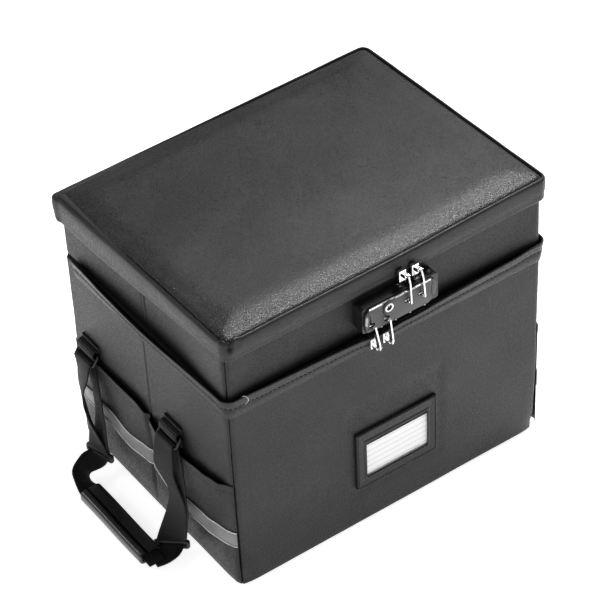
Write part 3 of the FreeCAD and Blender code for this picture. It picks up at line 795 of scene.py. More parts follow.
def rim_section(s):
    """Cross-section of the lid's rim: rolled top edge, soft convex face, and a flap with a turned hem."""
    x, y, nx, _ = RIM_PLAN.at(s)
    low = rim_low(s)
    puff = 0.4 + (0.5 if abs(nx) > 0.7 else 0.1)
    top = RIM_TOP + swell(x, y, 0.0, 35.0, 0.35, 4.0)
    mid = 326.0 if low < 322.0 else 335.0
    inner_low = max(low + 1.5, 331.0)
    return [(-1.0, low + 0.4), (-0.3, low), (0.15, low + 0.8), (0.3, low + 3.0), (0.2, low + 6.0),
            (0.3 + puff * 0.35, (low + 6 + mid) / 2), (0.3 + puff * 0.8, mid), (0.3 + puff, 332.5),
            (0.1 + puff * 0.9, 336.0), (0.1 + puff * 0.5, 338.9), (-0.15, top - 1.0), (-1.0, top - 0.25),
            (-2.1, top + 0.25), (-2.7, top + 0.1), (-3.0, top - 1.6), (-3.3, inner_low),
            (-2.4, min(inner_low - 1.0, low + 4.0))]


TOP_EDGE_ROWS = range(8, 15)
OUTER_ROWS = range(13)


def make_rim():
    """Rim with a pinch at its front left corner, a hollow behind it, and a squared rear left corner."""
    sections = []
    values = RIM_PLAN.stations(0.0, RIM_PLAN.length, 4.0, (), 1.2)[:-1]
    corner_at = RIM_PLAN.at_front(-RIM[0] / 2 + RIM[2] + 1.0)
    pinch_at, fold_at = corner_at - 4.0, corner_at + 4.5
    pocket_at = RIM_PLAN.left(-RIM[1] / 2 + RIM[2] - 4.0)
    for s in values:
        x, y, nx, ny = RIM_PLAN.at(s)
        ring = []
        for k, (o, z) in enumerate(rim_section(s)):
            o += swell(x, y, z, 55.0, 0.5, 6.0) * (0.3 if z > 338 else 1.0)
            if k in TOP_EDGE_ROWS:
                z -= 3.6 * bell(s, pinch_at, 4.5)
                o -= 1.6 * bell(s, pinch_at, 4.5)
                z += 1.7 * bell(s, fold_at, 6.0)
                o -= 1.2 * bell(s, fold_at, 5.0)
                z += 1.8 * bell(s, pocket_at, 8.0)
                o -= 0.8 * bell(s, pocket_at + 9.0, 6.0)
            if k in OUTER_ROWS and x < -150.0 and y > 120.0:
                o += 3.4 * bell((x + y + 50.0) / 1.414, 0.0, 8.0)
            ring.append(lid_settle(RIM_PLAN.off(s, o, z)))
        sections.append(ring)
    piece("lid_rim_skin", tube(sections, closed=True), HEM_FABRIC, "lid", ["lid_rim"])


make_rim()


def pad_ring(inset, nx, ny, width, depth, radius):
    """Points round a rounded rectangle, in step with a grid of nx by ny squares."""
    w = width / 2 - inset
    d = depth / 2 - inset
    r = max(radius - inset, 0.01)
    corners = []
    for i in range(nx):
        corners.append((-w + 2 * w * i / nx, -d))
    for i in range(ny):
        corners.append((w, -d + 2 * d * i / ny))
    for i in range(nx):
        corners.append((w - 2 * w * i / nx, d))
    for i in range(ny):
        corners.append((-w, d - 2 * d * i / ny))
    points = []
    for x, y in corners:
        ax, ay = w - abs(x), d - abs(y)
        if ax < r and ay < r:
            t = math.pi / 4 * (1 - ay / r) if ax < 1e-6 else math.pi / 2 - math.pi / 4 * (1 - ax / r)
            sx, sy = math.copysign(1, x), math.copysign(1, y)
            x = sx * (w - r + r * math.cos(t))
            y = sy * (d - r + r * math.sin(t))
        points.append((x, y))
    return points


PAD = (392.0, 297.0, 7.0)
PAD_LOW = 337.2


def pad_height(x, y, inset):
    """Height of the pad's top: rolled edges, then nearly flat."""
    roll = 6.5
    z = LID_TOP + 1.6
    if inset < roll:
        z -= 3.8 * (1 - math.sqrt(max(0.0, 1 - (1 - inset / roll) ** 2)))
    z -= (4.4 if y < 0 and inset > PAD[1] / 2 + y - 0.01 else 3.4) * (1 - smooth(inset / 28.0))
    z += swell(x, y, 0.0, 90.0, 0.7, 1.3) * smooth(inset / 25.0)
    z += swell(x, y, 0.0, 26.0, 0.16, 8.2) * smooth(inset / 8.0)
    return z


def make_pad():
    width, depth, radius = PAD
    nx, ny = 62, 48
    insets = [0.0, 0.15, 0.5, 1.1, 2.0, 3.2, 4.8, 6.8, 9.2, 12.0, 16.0, 21.0, 27.0, 34.0]
    rings = []
    for inset in insets:
        ring = []
        for x, y in pad_ring(inset, nx, ny, width, depth, radius):
            ring.append((x, y, pad_height(x, y, inset)))
        rings.append(ring)
    edge = [(x, y, PAD_LOW + 0.6) for x, y, _ in rings[0]]
    tuck = [(x * 0.995, y * 0.995, PAD_LOW) for x, y, _ in rings[0]]
    rings = [tuck, edge] + rings
    count = len(rings[0])
    verts, faces = tube(rings)
    faces = faces[:-2]  # without its end caps
    w, d = width / 2 - insets[-1], depth / 2 - insets[-1]
    last = (len(rings) - 1) * count
    index = {}
    order = [(i, 0) for i in range(nx)] + [(nx, i) for i in range(ny)]
    order += [(nx - i, ny) for i in range(nx)] + [(0, ny - i) for i in range(ny)]
    for j, key in enumerate(order):
        index[key] = last + j
    for i in range(nx + 1):
        for j in range(ny + 1):
            if (i, j) in index:
                continue
            x, y = -w + 2 * w * i / nx, -d + 2 * d * j / ny
            inset = insets[-1] + min(w - abs(x), d - abs(y))
            index[(i, j)] = len(verts)
            verts.append((x, y, pad_height(x, y, inset)))
    for i in range(nx):
        for j in range(ny):
            faces.append((index[(i, j)], index[(i + 1, j)], index[(i + 1, j + 1)], index[(i, j + 1)]))
    faces.append(tuple(range(count))[::-1])
    verts = [settled_above(v, PAD_LOW + 0.5) for v in verts]
    obj = piece("lid_pad_cushion", (verts, faces), PAD_FABRIC, "lid", ["lid_pad"])


make_pad()


# ======================= helpers for flat pieces and tubs =======================
def box_mm(*nodes):
    """Lowest and highest corners of some nodes, in millimetres."""
    boxes = [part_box(n) for n in nodes]
    low = [min(b[0][k] for b in boxes) / MM for k in range(3)]
    high = [max(b[1][k] for b in boxes) / MM for k in range(3)]
    return low, high


def ring_stations(plan, corner_step=2.0):
    return plan.stations(0.0, plan.length, 6.0, (), corner_step)[:-1]


def around(plan, insets_z, move=None):
    """Closed rows round a plan: one row for each (inset, z), capped at both ends."""
    rows = []
    for inset, z in insets_z:
        near = min(inset, plan.r * 0.8)
        far = inset - near
        row = []
        for s in ring_stations(plan):
            x, y, nx, ny = plan.at(s)
            p = ((x - nx * near) * (1 - 2 * far / plan.w), (y - ny * near) * (1 - 2 * far / plan.d), z)
            row.append(move(p) if move else p)
        rows.append(row)
    return tube(rows)


def hoop(plan, section, move=None):
    """Closed ring round a plan with the same (inset, z) cross-section all the way."""
    sections = []
    for s in ring_stations(plan):
        x, y, nx, ny = plan.at(s)
        ring = [(x - nx * inset, y - ny * inset, z) for inset, z in section]
        sections.append([move(p) for p in ring] if move else ring)
    return tube(sections, closed=True)


def plate(name, plan, inset, z0, z1, material, body, replaces=(), move=None):
    """Thin sheet with rounded edges and a faint dish."""
    t = (z1 - z0) / 2
    m = z0 + t
    rows = [(inset + 40, z0 + 0.15), (inset + 4, z0), (inset + 0.3, z0 + t * 0.3), (inset, m),
            (inset + 0.3, z1 - t * 0.3), (inset + 4, z1), (inset + 40, z1 - 0.15)]
    return piece(name, around(plan, rows, move), material, body, replaces)


def lining_tub(name, plan, z0, z1, replaces, body):
    """Lining sewn as a tub: soft upright walls, a rounded foot and a flat floor."""
    rows = [(60, z0 + 0.1), (3, z0), (0.4, z0 + 1.4), (0, z0 + 5), (0.35, (z0 + z1) / 2), (0, z1 - 2),
            (0.1, z1),
            (0.7, z1), (0.8, z1 - 2), (1.2, (z0 + z1) / 2), (0.9, z0 + 5), (1.2, z0 + 2.2), (2.0, z0 + 0.85),
            (60, z0 + 0.9)]
    return piece(name, around(plan, rows), LINING, body, replaces)


BINDING_FALL = 5.0


def binding(name, plan, outside, inside, z, body):
    """Binding tape folded over the top of a wall, from its outside to its inside."""
    o, i = -outside, inside
    rows = [(o + 0.45, z - BINDING_FALL), (o - 0.05, z - BINDING_FALL), (o - 0.25, z - 1.2),
            (o + 0.2, z - 0.2), (o + 1.0, z + 0.25),
            ((o + i) / 2, z + 0.45), (i - 1.0, z + 0.25), (i - 0.1, z - 0.3), (i + 0.25, z - 1.2),
            (i + 0.1, z - BINDING_FALL), (i - 0.35, z - BINDING_FALL), (i - 0.5, z - 1.4),
            ((o + i) / 2, z - 0.4), (o + 0.6, z - 1.3)]
    return piece(name, hoop(plan, rows), HEM_FABRIC, body)


def ribbon(path, width, thick, camber=0.0):
    """Webbing along (centre, across, normal): rounded edges, and uv in metres along and across it."""
    half, t = width / 2, thick / 2
    outline = [(-half, 0.0), (-half + 0.35, t * 0.8), (-half + 1.1, t), (-half * 0.4, t), (half * 0.4, t),
               (half - 1.1, t), (half - 0.35, t * 0.8), (half, 0.0), (half - 0.35, -t * 0.8),
               (half - 1.1, -t),
               (half * 0.4, -t), (-half * 0.4, -t), (-half + 1.1, -t), (-half + 0.35, -t * 0.8)]
    sections = []
    uvs = []
    travelled = 0.0
    before = None
    for centre, across, normal in path:
        c = Vector(centre)
        a = Vector(across).normalized()
        n = (Vector(normal) - a * Vector(normal).dot(a)).normalized()
        travelled += (c - before).length if before is not None else 0.0
        before = c
        ring = []
        for u, h in outline:
            curl = camber * (1 - (u / half) ** 2)
            ring.append(tuple(c + a * u + n * (h + curl)))
            uvs.append((u * MM, travelled * MM))
        sections.append(ring)
    verts, faces = tube(sections)
    return verts, faces, uvs


def joined(parts):
    """One mesh from several ribbons with their uvs."""
    verts, faces = merged([(v, f) for v, f, _ in parts])
    return verts, faces, [uv for _, _, u in parts for uv in u]


def mirror(part):
    """The same mesh on the other side of the box."""
    return ([(-x, y, z) for x, y, z in part[0]], [tuple(reversed(f)) for f in part[1]], *part[2:])


# ======================= undersides, linings, bindings, hinges =======================
def make_inside():
    low, high = box_mm("base_bottom_cover")

    def draw(p):
        drawn = 0.75 * corner_in(p[0], p[1], 0.0)
        return tuple(v - math.copysign(drawn, v) for v in p[:2]) + (p[2],)

    plate("base_underside", BASE_PLAN, 3.2, low[2] + 0.05, high[2], FABRIC, "base",
          ["base_bottom_cover"], move=draw)
    low, high = box_mm("tray_floor")
    plate("tray_underside", TRAY_PLAN, 6.5, low[2] + 0.2, high[2], FABRIC, "tray",
          ["tray_floor"])
    for level, outer, set_in, lift in (("base", BASE, 1.2, 0.9), ("tray", TRAY, 4.2, 0.1)):
        low, high = box_mm(level + "_lining")
        plan = Plan(high[0] - low[0], high[1] - low[1], 8.0)
        lining_tub(level + "_lining_tub", plan, low[2], high[2], [level + "_lining"], level)
        wall = (outer[0] - (high[0] - low[0])) / 2
        binding(level + "_mouth_binding", plan, wall - set_in, 1.3, high[2] + lift, level)
    low, high = box_mm("lid_lining")
    plan = Plan(high[0] - low[0], high[1] - low[1], 10.0)
    plate("lid_lining_sheet", plan, 0.0, low[2], high[2], LINING, "lid", ["lid_lining"])
    seat = high[2] + 0.15
    plate("lid_stiffener", Plan(RIM[0], RIM[1], 8.0), 7.5, seat, seat + 1.3, BOARD, "lid",
          ["lid_board"], move=lambda p: lid_settle(p)[:2] + (p[2],))
    gusset = [(5.0, 337.2), (3.1, 336.6), (2.9, 338.0), (3.6, 338.3), (6.0, 338.5), (11.0, 338.5),
              (11.0, 338.2)]
    shape = hoop(RIM_PLAN, gusset, lambda p: settled_above(p, p[2]))
    piece("lid_pad_gusset", shape, DARK_FABRIC, "lid")
    trim = [(3.1, 334.62), (3.1, 335.8), (7.0, 336.0), (10.0, 336.1), (10.0, 334.72), (7.0, 334.66)]
    piece("lid_lining_binding", hoop(RIM_PLAN, trim), HEM_FABRIC, "lid")


def hinge_cloth(name, half_width, line, thick, replaces=()):
    """Strip of cloth across a hinge at the rear: line is (y, z) from bottom to top."""
    columns = []
    behind = []
    steps = 46
    for i in range(steps + 1):
        x = -half_width + 2 * half_width * i / steps
        columns.append([(x, y + swell(x, y, z, 30.0, 0.25, 2.7), z) for y, z in line])
        behind.append([(x, y - thick + swell(x, y, z, 30.0, 0.25, 2.7), z) for y, z in line])
    obj = piece(name, shell(columns, behind), HEM_FABRIC, None, replaces)
    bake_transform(obj)


def make_hinges():
    back = BASE[1] / 2
    line = [(back + 0.75 + 0.5 * math.sin(math.pi * k / 12), 240.0 + 30.0 * k / 12) for k in range(13)]
    hinge_cloth("rear_hinge_cloth", 182.0, line, 0.6,
                ["rear_hinge_strip"])
    line = [(back + 0.4 + 2.4 * smooth(k / 10), 318.0 + 17.0 * k / 10) for k in range(11)]
    hinge_cloth("lid_hinge_cloth", 184.0, line, 0.5)


def zip_run(name, plan, out, z0, z1, teeth_z, body, replaces):
    """Zip tape round the front and sides, with a row of coil teeth."""
    s0, s1 = plan.left(122.0), plan.right(122.0)
    sections = []
    teeth = []
    values = plan.stations(s0, s1, 5.0, (), 2.0)
    for s in values:
        x, y, nx, ny = plan.at(s)
        o = out(x, y, nx, ny)
        row = [(o, z0), (o + 0.35, z0 + 0.2), (o + 0.45, (z0 + z1) / 2), (o + 0.35, z1 - 0.2), (o, z1),
               (o - 0.3, (z0 + z1) / 2)]
        sections.append([plan.off(s, a, z) for a, z in row])
    count = int((s1 - s0) / 1.7)
    for k in range(count):
        s = s0 + (s1 - s0) * (k + 0.5) / count
        x, y, nx, ny = plan.at(s)
        o = out(x, y, nx, ny)
        tx, ty = -ny, nx
        ends = []
        for a, h, w in ((o + 0.2, 0.0, 0.45), (o + 1.15, 0.5, 0.5), (o + 1.1, -0.9, 0.4)):
            ends.append([(x + nx * a + tx * side, y + ny * a + ty * side, teeth_z + h + up)
                         for side, up in ((w, 0.45), (-w, 0.45), (-w, -0.45), (w, -0.45))])
        teeth.append(tube(ends))
    piece(name, merged([tube(sections)] + teeth), ZIP_TAPE, body, replaces)


def tray_wall_out(x, y, nx, ny):
    """Offset of the tray's cloth from its plan, for things that lie on it."""
    return tray_relief(x, y, 326.0, nx, ny) + 0.35


make_inside()
make_hinges()
zip_run("lower_zip", BASE_PLAN, lambda x, y, nx, ny: 0.75, 251.2, 255.6, 254.6, "base", ["lower_zip_tape"])
zip_run("upper_zip", TRAY_PLAN, tray_wall_out, 319.2, 333.5, 321.0, "tray", ["upper_zip_tape"])


# ======================= label holder =======================
LABEL_X, LABEL_Z, LABEL_SIZE = 4.7, 93.0, (104.0, 78.0)
WINDOW_SIZE, WINDOW_DZ = (79.0, 48.5), -1.25


def make_label():
    """Holder sewn flat on the front: raised welt round the window, open at the top for the card."""
    wall = -149.2
    plan = Plan(LABEL_SIZE[0], LABEL_SIZE[1], 1.5)
    kx, kz = WINDOW_SIZE[0] / LABEL_SIZE[0], WINDOW_SIZE[1] / LABEL_SIZE[1]
    face = [(0.0, 0.0), (-0.004, 0.9), (0.0, 2.9), (0.03, 3.75), (0.10, 4.05), (0.16, 3.95), (0.21, 3.5),
            (0.27, 3.4),
            (0.70, 3.6), (0.76, 3.3), (0.80, 3.9), (0.86, 4.35), (0.93, 4.3), (0.985, 3.9), (1.0, 3.1),
            (0.97, 2.55),
            (0.5, 2.5), (0.12, 2.5)]
    sections = []
    for s in plan.stations(0.0, plan.length, 5.0, (), 0.6)[:-1]:
        x, z, _, nz = plan.at(s)
        ring = []
        open_top = nz > 0.7 and abs(x) < 46.0
        for t, h in face:
            px = x + (x * kx - x) * t
            pz = z + (z * kz + WINDOW_DZ - z) * t
            low = 2.5 if open_top else 0.0
            h = max(h, low) if t < 0.05 else h
            wave = swell(px, 0.0, pz, 22.0, 0.22, 5.5) if 0.05 < t < 0.9 and h > 2.6 else 0.0
            ring.append((LABEL_X + px, wall - h - wave, LABEL_Z + pz))
        sections.append(ring)
    piece("label_frame", tube(sections, closed=True), HEM_FABRIC, "base", ["label_holder"])
    path = []
    for s in plan.stations(0.0, plan.length, 4.0, (), 0.8):
        x, z = plan.at(s)[:2]
        path.append(((LABEL_X + x * 0.965, wall - 3.85, LABEL_Z + z * 0.955), (0, -1, 0)))
    stitches("label_frame_stitches", path, "base", length=2.0, gap=1.2)


make_label()


# ======================= pockets and reflective tape =======================
POCKET_LOW = 8.0


def pocket_top(y):
    """Height of a pocket's mouth along the side."""
    points = [(-147.0, 148.0), (-128.0, 143.0), (-100.0, 137.0), (-64.0, 131.0), (-20.0, 131.5),
              (-3.0, 136.0),
              (3.0, 138.0), (22.0, 143.5), (90.0, 143.0), (147.0, 140.0)]
    return curve_between(points, max(y, -147.0)) if y > -147.0 else 148.0


def pocket_out(y, z):
    """How far the pocket cloth stands off the wall."""
    ends = smooth((147.0 - abs(y)) / 22.0)
    crease = 1 - 0.80 * math.exp(-((y - 1.0) / 3.2) ** 2) - 0.18 * math.exp(-((y - 1.0) / 14.0) ** 2)
    up = smooth((z - POCKET_LOW) / 34.0)
    top = pocket_top(y)
    mouth = smooth((z - top + 46.0) / 46.0)
    o = 0.9 + ends * crease * (2.6 * up + 2.9 * mouth * (1.15 if y < 0 else 0.9))
    o += ends * 2.0 * mouth * bell(y, -34.0, 34.0)
    return o + ends * swell(0.0, y, z, 34.0, 0.55, 12.4)


def side_point(s, out, z, sign):
    """Point that stands off the left wall, or off the right one where sign is 1."""
    x, y, z = BASE_PLAN.off(s, out, z)
    return (-sign * x, y, z)


def strip_mid(y):
    """Height of the middle of the reflective tape: it sags between the seams."""
    points = [(-147.0, 72.0), (-133.0, 69.0), (-98.0, 61.5), (-64.0, 58.0), (-30.0, 66.0), (-3.0, 76.0),
              (7.0, 76.5),
              (46.0, 70.0), (82.0, 76.0), (147.0, 77.0)]
    return curve_between(points, max(y, -147.0)) if y > -147.0 else 72.0


def turned(shape, sign):
    """The same shape, with its faces reversed where sign is negative."""
    verts, faces = shape
    return shape if sign > 0 else (verts, [tuple(reversed(f)) for f in faces])


def make_pockets():
    s0 = BASE_PLAN.starts[1] + BASE_PLAN.arc / 2 + 0.4
    s1 = BASE_PLAN.starts[3] + BASE_PLAN.arc / 2 - 0.4
    fine = (0.0, 0.5, 1.2, 2.2, 3.6)
    values = BASE_PLAN.stations(s0, s1, 3.5, fine, 1.5)
    mid = BASE_PLAN.left(1.0)
    values = sorted(set(values + [mid + d for d in (-6.0, -3.4, -2.0, -1.0, -0.4, 0.0, 0.4, 1.0, 2.0, 3.4,
                                                    6.0)]))
    tape = []
    edges = []
    # These names are the wrong way round: sign 1 is the +X side, which is the right one.
    for side, sign in (("left", 1), ("right", -1)):
        outer = []
        inner = []
        hem = []
        for s in values:
            _, y, nx, ny = BASE_PLAN.at(s)
            top = pocket_top(y)
            column = []
            behind = []
            rows = [POCKET_LOW + (top - POCKET_LOW) * k / 22 for k in range(21)]
            rows += [top - 10.6, top - 9.9, top - 9.2, top - 7.0, top - 4.0, top - 1.6, top - 0.4, top]
            rows = sorted(set(rows))
            for z in rows:
                o = pocket_out(y, z)
                if z > top - 9.5:
                    o += 0.35
                if abs(z - (top - 9.9)) < 0.1:
                    o -= 0.35
                if z > top - 0.2:
                    o -= 0.35
                if z < POCKET_LOW + 0.1:
                    o = 0.7
                column.append(side_point(s, o, z, sign))
                behind.append(side_point(s, o - (0.95 if z > top - 9.0 else 0.6), z, sign))
            outer.append(column)
            inner.append(behind)
            out = pocket_out(y, top - 8.6) + 0.4
            hem.append((side_point(s, out, top - 8.6, sign), (-sign * abs(nx) - 0.001, ny, 0.1)))
        piece(side + "_pocket_cloth", turned(shell(outer, inner), sign), FABRIC, "base",
              [side + "_pocket"])
        stitches(side + "_pocket_hem_stitches", hem[3:-3], "base")
        rings = []
        lines = ([], [])
        for s in values:
            y = BASE_PLAN.at(s)[1]
            m = strip_mid(y)
            ring = []
            for dz, lift in ((-10.0, 0.1), (-9.7, 0.75), (-5.0, 0.9), (0.0, 0.9), (5.0, 0.9), (9.7, 0.75),
                             (10.0, 0.1),
                             (0.0, 0.05)):
                ring.append(side_point(s, pocket_out(y, m + dz) + lift, m + dz, sign))
            rings.append(ring)
            for line, dz in zip(lines, (-9.8, 9.8)):
                line.append(side_point(s, pocket_out(y, m + dz) + 1.0, m + dz, sign))
        tape.append(turned(tube(rings), sign))
        # Pale cords along both edges of the tape: painted highlight where the tape's edges catch the light.
        edges += [pipe(line, 0.55, 6) for line in lines]
    piece("reflective_side_tapes", merged(tape), REFLECTIVE, "base", ["reflective_strips"])
    piece("reflective_tape_painted_edge_highlights", merged(edges), PALE_PRINT_AND_EDGE_HIGHLIGHT, "base")


make_pockets()


# ======================= handles =======================
BAR = (-208.0, 140.5)
PIVOT = (-200.5, 151.0)
# each loop: its y, then (x, y, z, turn) down the outer layer and down the inner layer
# Strap loops: the ring's y, then the outer and the inner layer downwards as (x, y, z, turn in degrees).
# The y, z and turn values rest on a fit, then rounded and smoothed; they are not chosen dimensions.
FRONT_LOOP = (-45.0, ((-216.0, -49.0, 125.0, -9.0), (-217.0, -49.5, 110.0, -9.0), (-216.0, -56.0, 97.0, -5.0),
                      (-215.5, -66.0, 85.0, 0.0), (-216.0, -68.0, 70.0, -2.0), (-217.0, -64.0, 50.0, -10.0),
                      (-219.5, -59.5, 29.0, -26.0), (-222.5, -57.0, 13.0, -50.0)),
              ((-206.5, -55.0, 125.0, 2.0), (-208.5, -60.0, 110.0, 2.0), (-210.5, -64.0, 97.0, 0.0),
               (-212.9, -67.5, 85.0, 0.0), (-213.5, -68.5, 70.0, -2.0), (-214.6, -64.5, 50.0, -10.0),
               (-217.0, -60.2, 29.0, -26.0), (-220.2, -58.2, 13.0, -50.0)))
REAR_LOOP = (112.0, ((-214.5, 109.0, 126.0, 12.0), (-217.5, 110.0, 110.0, 22.0), (-218.0, 108.5, 92.0, 26.0),
                     (-217.5, 102.0, 74.0, 24.0), (-216.5, 95.0, 58.0, 14.0), (-216.5, 91.0, 44.0, 0.0),
                     (-217.0, 88.5, 31.0, -14.0)),
             ((-206.4, 103.0, 126.0, 6.0), (-208.0, 95.0, 110.0, 13.0), (-209.5, 90.5, 92.0, 14.0),
              (-210.5, 88.0, 74.0, 12.0), (-212.0, 87.5, 58.0, 8.0), (-213.6, 88.0, 44.0, 0.0),
              (-214.7, 88.0, 31.0, -14.0)))
GRIP = (-249.0, 10.5, -59.6, 57.6)


def loop_path(y, outer_points, inner_points):
    """Stations of a strap loop: up the outer layer, over the ring's bar, and down the inner layer."""
    reach = 3.4
    layers = []
    for side, points in ((-1, outer_points), (1, inner_points)):
        ends = ((BAR[0] + side * reach, y, BAR[1], -2.0),) + points
        line = through([p[:3] for p in ends], 5)
        layer = []
        for i, c in enumerate(line):
            k, t = min(i // 5, len(ends) - 2), (i % 5) / 5
            if i == len(line) - 1:
                t = 1.0
            a = math.radians(ends[k][3] + (ends[k + 1][3] - ends[k][3]) * t)
            layer.append((tuple(c), (math.sin(a), math.cos(a), 0.0)))
        layers.append(layer)
    outer, inner = layers
    arc = []
    for k in range(1, 8):
        a = math.pi - math.pi * k / 8
        arc.append(((BAR[0] + reach * math.cos(a), y, BAR[1] + reach * math.sin(a)), (0.0, 1.0, 0.0)))
    line = outer[::-1] + arc + inner
    centres = [c for c, _ in line]
    path = []
    for i, (c, across) in enumerate(line):
        path.append((c, across, heading(centres, i).cross(Vector(across)) * -1))
    return path


def tab_mesh(y):
    """Webbing tab sewn on the wall: folded round the ring's upper bar, its ends turned under."""
    line = []
    wall = -198.9
    for k in range(6):
        line.append((wall - 0.2 - 0.25 * k / 5, PIVOT[1] - 14.0 + k * 2.2))
    for k in range(13):
        a = math.radians(-62 - 236 * k / 12)
        line.append((PIVOT[0] - 0.9 + 4.6 * math.cos(a), PIVOT[1] + 1.2 + 5.4 * math.sin(a)))
    for k in range(6):
        line.append((wall + 0.2, PIVOT[1] + 4.0 + k * 1.6))
    path = []
    for i, (x, z) in enumerate(line):
        ax, az = line[max(i - 1, 0)]
        bx, bz = line[min(i + 1, len(line) - 1)]
        along = Vector((bx - ax, 0.0, bz - az))
        path.append(((x, y, z), (0, 1, 0), along.cross(Vector((0, 1, 0)))))
    return ribbon(path, 30.5, 2.8, 0.4)


def buckle_mesh(foot):
    """Flat frame that joins a loop to the lead: a rounded bar bent into a rectangle."""
    turn = math.radians(foot[3])
    plan = Plan(39.0, 11.5, 3.2)
    sections = []
    for s in plan.stations(0.0, plan.length, 4.0, (), 1.0)[:-1]:
        u, v, nu, nv = plan.at(s)
        ring = []
        for c, d in circle(8):
            du = -2.2 + 2.2 * c
            h = 2.8 * d
            uu, vv = u + nu * du, v + nv * du
            ring.append((foot[0] + math.sin(turn) * uu + math.cos(turn) * h,
                         foot[1] + math.cos(turn) * uu - math.sin(turn) * h, foot[2] - 5.0 + vv))
        sections.append(ring)
    return tube(sections, closed=True)


def lead_path(points, acrosses):
    """Stations along a smooth curve, with the width direction eased between its ends."""
    line = through(points, 7)
    path = []
    for i, c in enumerate(line):
        t = i / (len(line) - 1) * (len(acrosses) - 1)
        k = min(int(t), len(acrosses) - 2)
        across = Vector(acrosses[k]).lerp(Vector(acrosses[k + 1]), smooth(t - k))
        along = heading(line, i)
        across = (across - along.normalized() * across.dot(along.normalized())).normalized()
        path.append((tuple(c), tuple(across), tuple(along.cross(across))))
    return path


def grip_mesh():
    """Moulded sleeve folded round the webbing: a C-shaped section with a slit along its top."""
    cx, cz, y0, y1 = GRIP
    outer = []
    inner = []
    plan = Plan(26.0, 15.0, 5.0)
    wall = 2.6
    slit = plan.rear(-4.0)
    total = plan.length - 3.4
    for k in range(44):
        s = slit + 1.7 + total * k / 43
        u, v, nu, nv = plan.at(s)
        outer.append((u, v))
        inner.append((u - nu * wall, v - nv * wall))
    lip = [(outer[0][0] - 0.2, outer[0][1] - 0.9)]
    tail = [(outer[-1][0] + 0.2, outer[-1][1] - 0.9)]
    section = outer + tail + inner[::-1] + lip
    sections = []
    for y, pinch in ((y0, 0.975), (y0 + 0.4, 0.99), (y0 + 1.2, 1.0)) + tuple(
            (y0 + 1.2 + (y1 - y0 - 2.4) * k / 20, 1.0) for k in range(1, 20)) + (
            (y1 - 1.2, 1.0), (y1 - 0.4, 0.99), (y1, 0.975)):
        sag = -0.5 * math.sin(math.pi * (y - y0) / (y1 - y0))
        sections.append([(cx + u * pinch + 0.35 * math.sin(y * 0.05), y, cz + v * pinch + sag * 0.4)
                         for u, v in section])
    return tube(sections)


def ring_mesh(y):
    """Wire ring between a sewn tab and a strap loop: a rounded rectangle of round wire."""
    half, wire = 16.6, 1.6
    corners = [(PIVOT[0], y - half, PIVOT[1]), (PIVOT[0], y + half, PIVOT[1]), (BAR[0], y + half, BAR[1]),
               (BAR[0], y - half, BAR[1])]
    line = [Vector(p) for p in rounded_outline(corners, 2.6, 5)]
    flat_normal = Vector((BAR[1] - PIVOT[1], 0.0, PIVOT[0] - BAR[0])).normalized()
    rows = []
    for i, p in enumerate(line):
        along = (line[(i + 1) % len(line)] - line[i - 1]).normalized()
        side = along.cross(flat_normal)
        rows.append([tuple(p + side * wire * c + flat_normal * wire * d) for c, d in circle(8)])
    return tube(rows, closed=True)


def make_handles():
    cx, cz, gy0, gy1 = GRIP
    both = (FRONT_LOOP, REAR_LOOP)
    loops = [ribbon(loop_path(*loop), 29.5, 2.0, 0.25) for loop in both]
    front, rear = ([(a + b) / 2 for a, b in zip(loop[1][-1], loop[2][-1])] for loop in both)
    turns = [math.radians(foot[3]) for foot in (front, rear)]
    ft, rt = ((math.sin(a), math.cos(a), 0.0) for a in turns)
    flat = (-1.0, 0.12, 0.0)
    front_lead = lead_path([(front[0] + 1.0, front[1], 9.0), (front[0] - 7.0, front[1] - 5.5, 8.2),
                            (front[0] - 18.0, front[1] - 7.5, 8.4), (cx - 1.0, gy0 - 4.5, 9.4)],
                           [ft, (-0.45, 0.9, 0.05), (-0.05, 1.0, 0.03), (0.35, 0.93, 0.0)])
    rear_lead = lead_path([(rear[0], rear[1], 24.0), (rear[0] - 3.0, rear[1] + 2.5, 18.0),
                           (rear[0] - 17.0, rear[1] + 4.0, 15.5), (cx + 3.0, gy1 + 23.0, 13.5),
                           (cx, gy1 - 2.0, cz)],
                          [rt, (-0.2, 0.8, 0.5), (0.15, 0.5, 0.85), (-0.7, 0.35, 0.65), (-1, 0.1, 0.05)])
    core = lead_path([(cx, gy0 - 13.0, cz - 0.3), (cx, gy0 + 1.0, cz), (cx, (gy0 + gy1) / 2, cz),
                      (cx, gy1 - 1.0, cz)], [flat, flat])
    leads = [ribbon(front_lead, 27.0, 2.4, 0.2), ribbon(rear_lead, 24.0, 2.4, 0.2), ribbon(core, 19.5, 2.2)]
    shapes = (("_strap_webbing", joined(loops + leads), WEBBING, "webbing", "webbing", 0),
              ("_ring_wires", merged([ring_mesh(y) for y in (FRONT_LOOP[0], REAR_LOOP[0])]), DARK_METAL,
               "dark_metal",
               "rings", 0),
              ("_buckle_frames", merged([buckle_mesh(front), buckle_mesh(rear)]), BLACK_PLASTIC,
               "black_plastic",
               "buckles", 0),
              ("_grip_sleeve", grip_mesh(), GRIP_BLACK, "grip_leather", "grip", 35))
    for side in ("left", "right"):
        for name, shape, material, slot, node, sharp in shapes:
            piece(side + name, mirror(shape) if side == "right" else shape, material, side + "_handle",
                  ["%s_handle_%s" % (side, node)], sharp=sharp)
    tabs = [tab_mesh(loop[0]) for loop in (FRONT_LOOP, REAR_LOOP)]
    tabs = joined(tabs + [mirror(t) for t in tabs])
    piece("handle_tab_webbing", tabs, WEBBING, "base", ["handle_tabs"])


make_handles()


# ======================= lock =======================
FACE_Y = -165.0


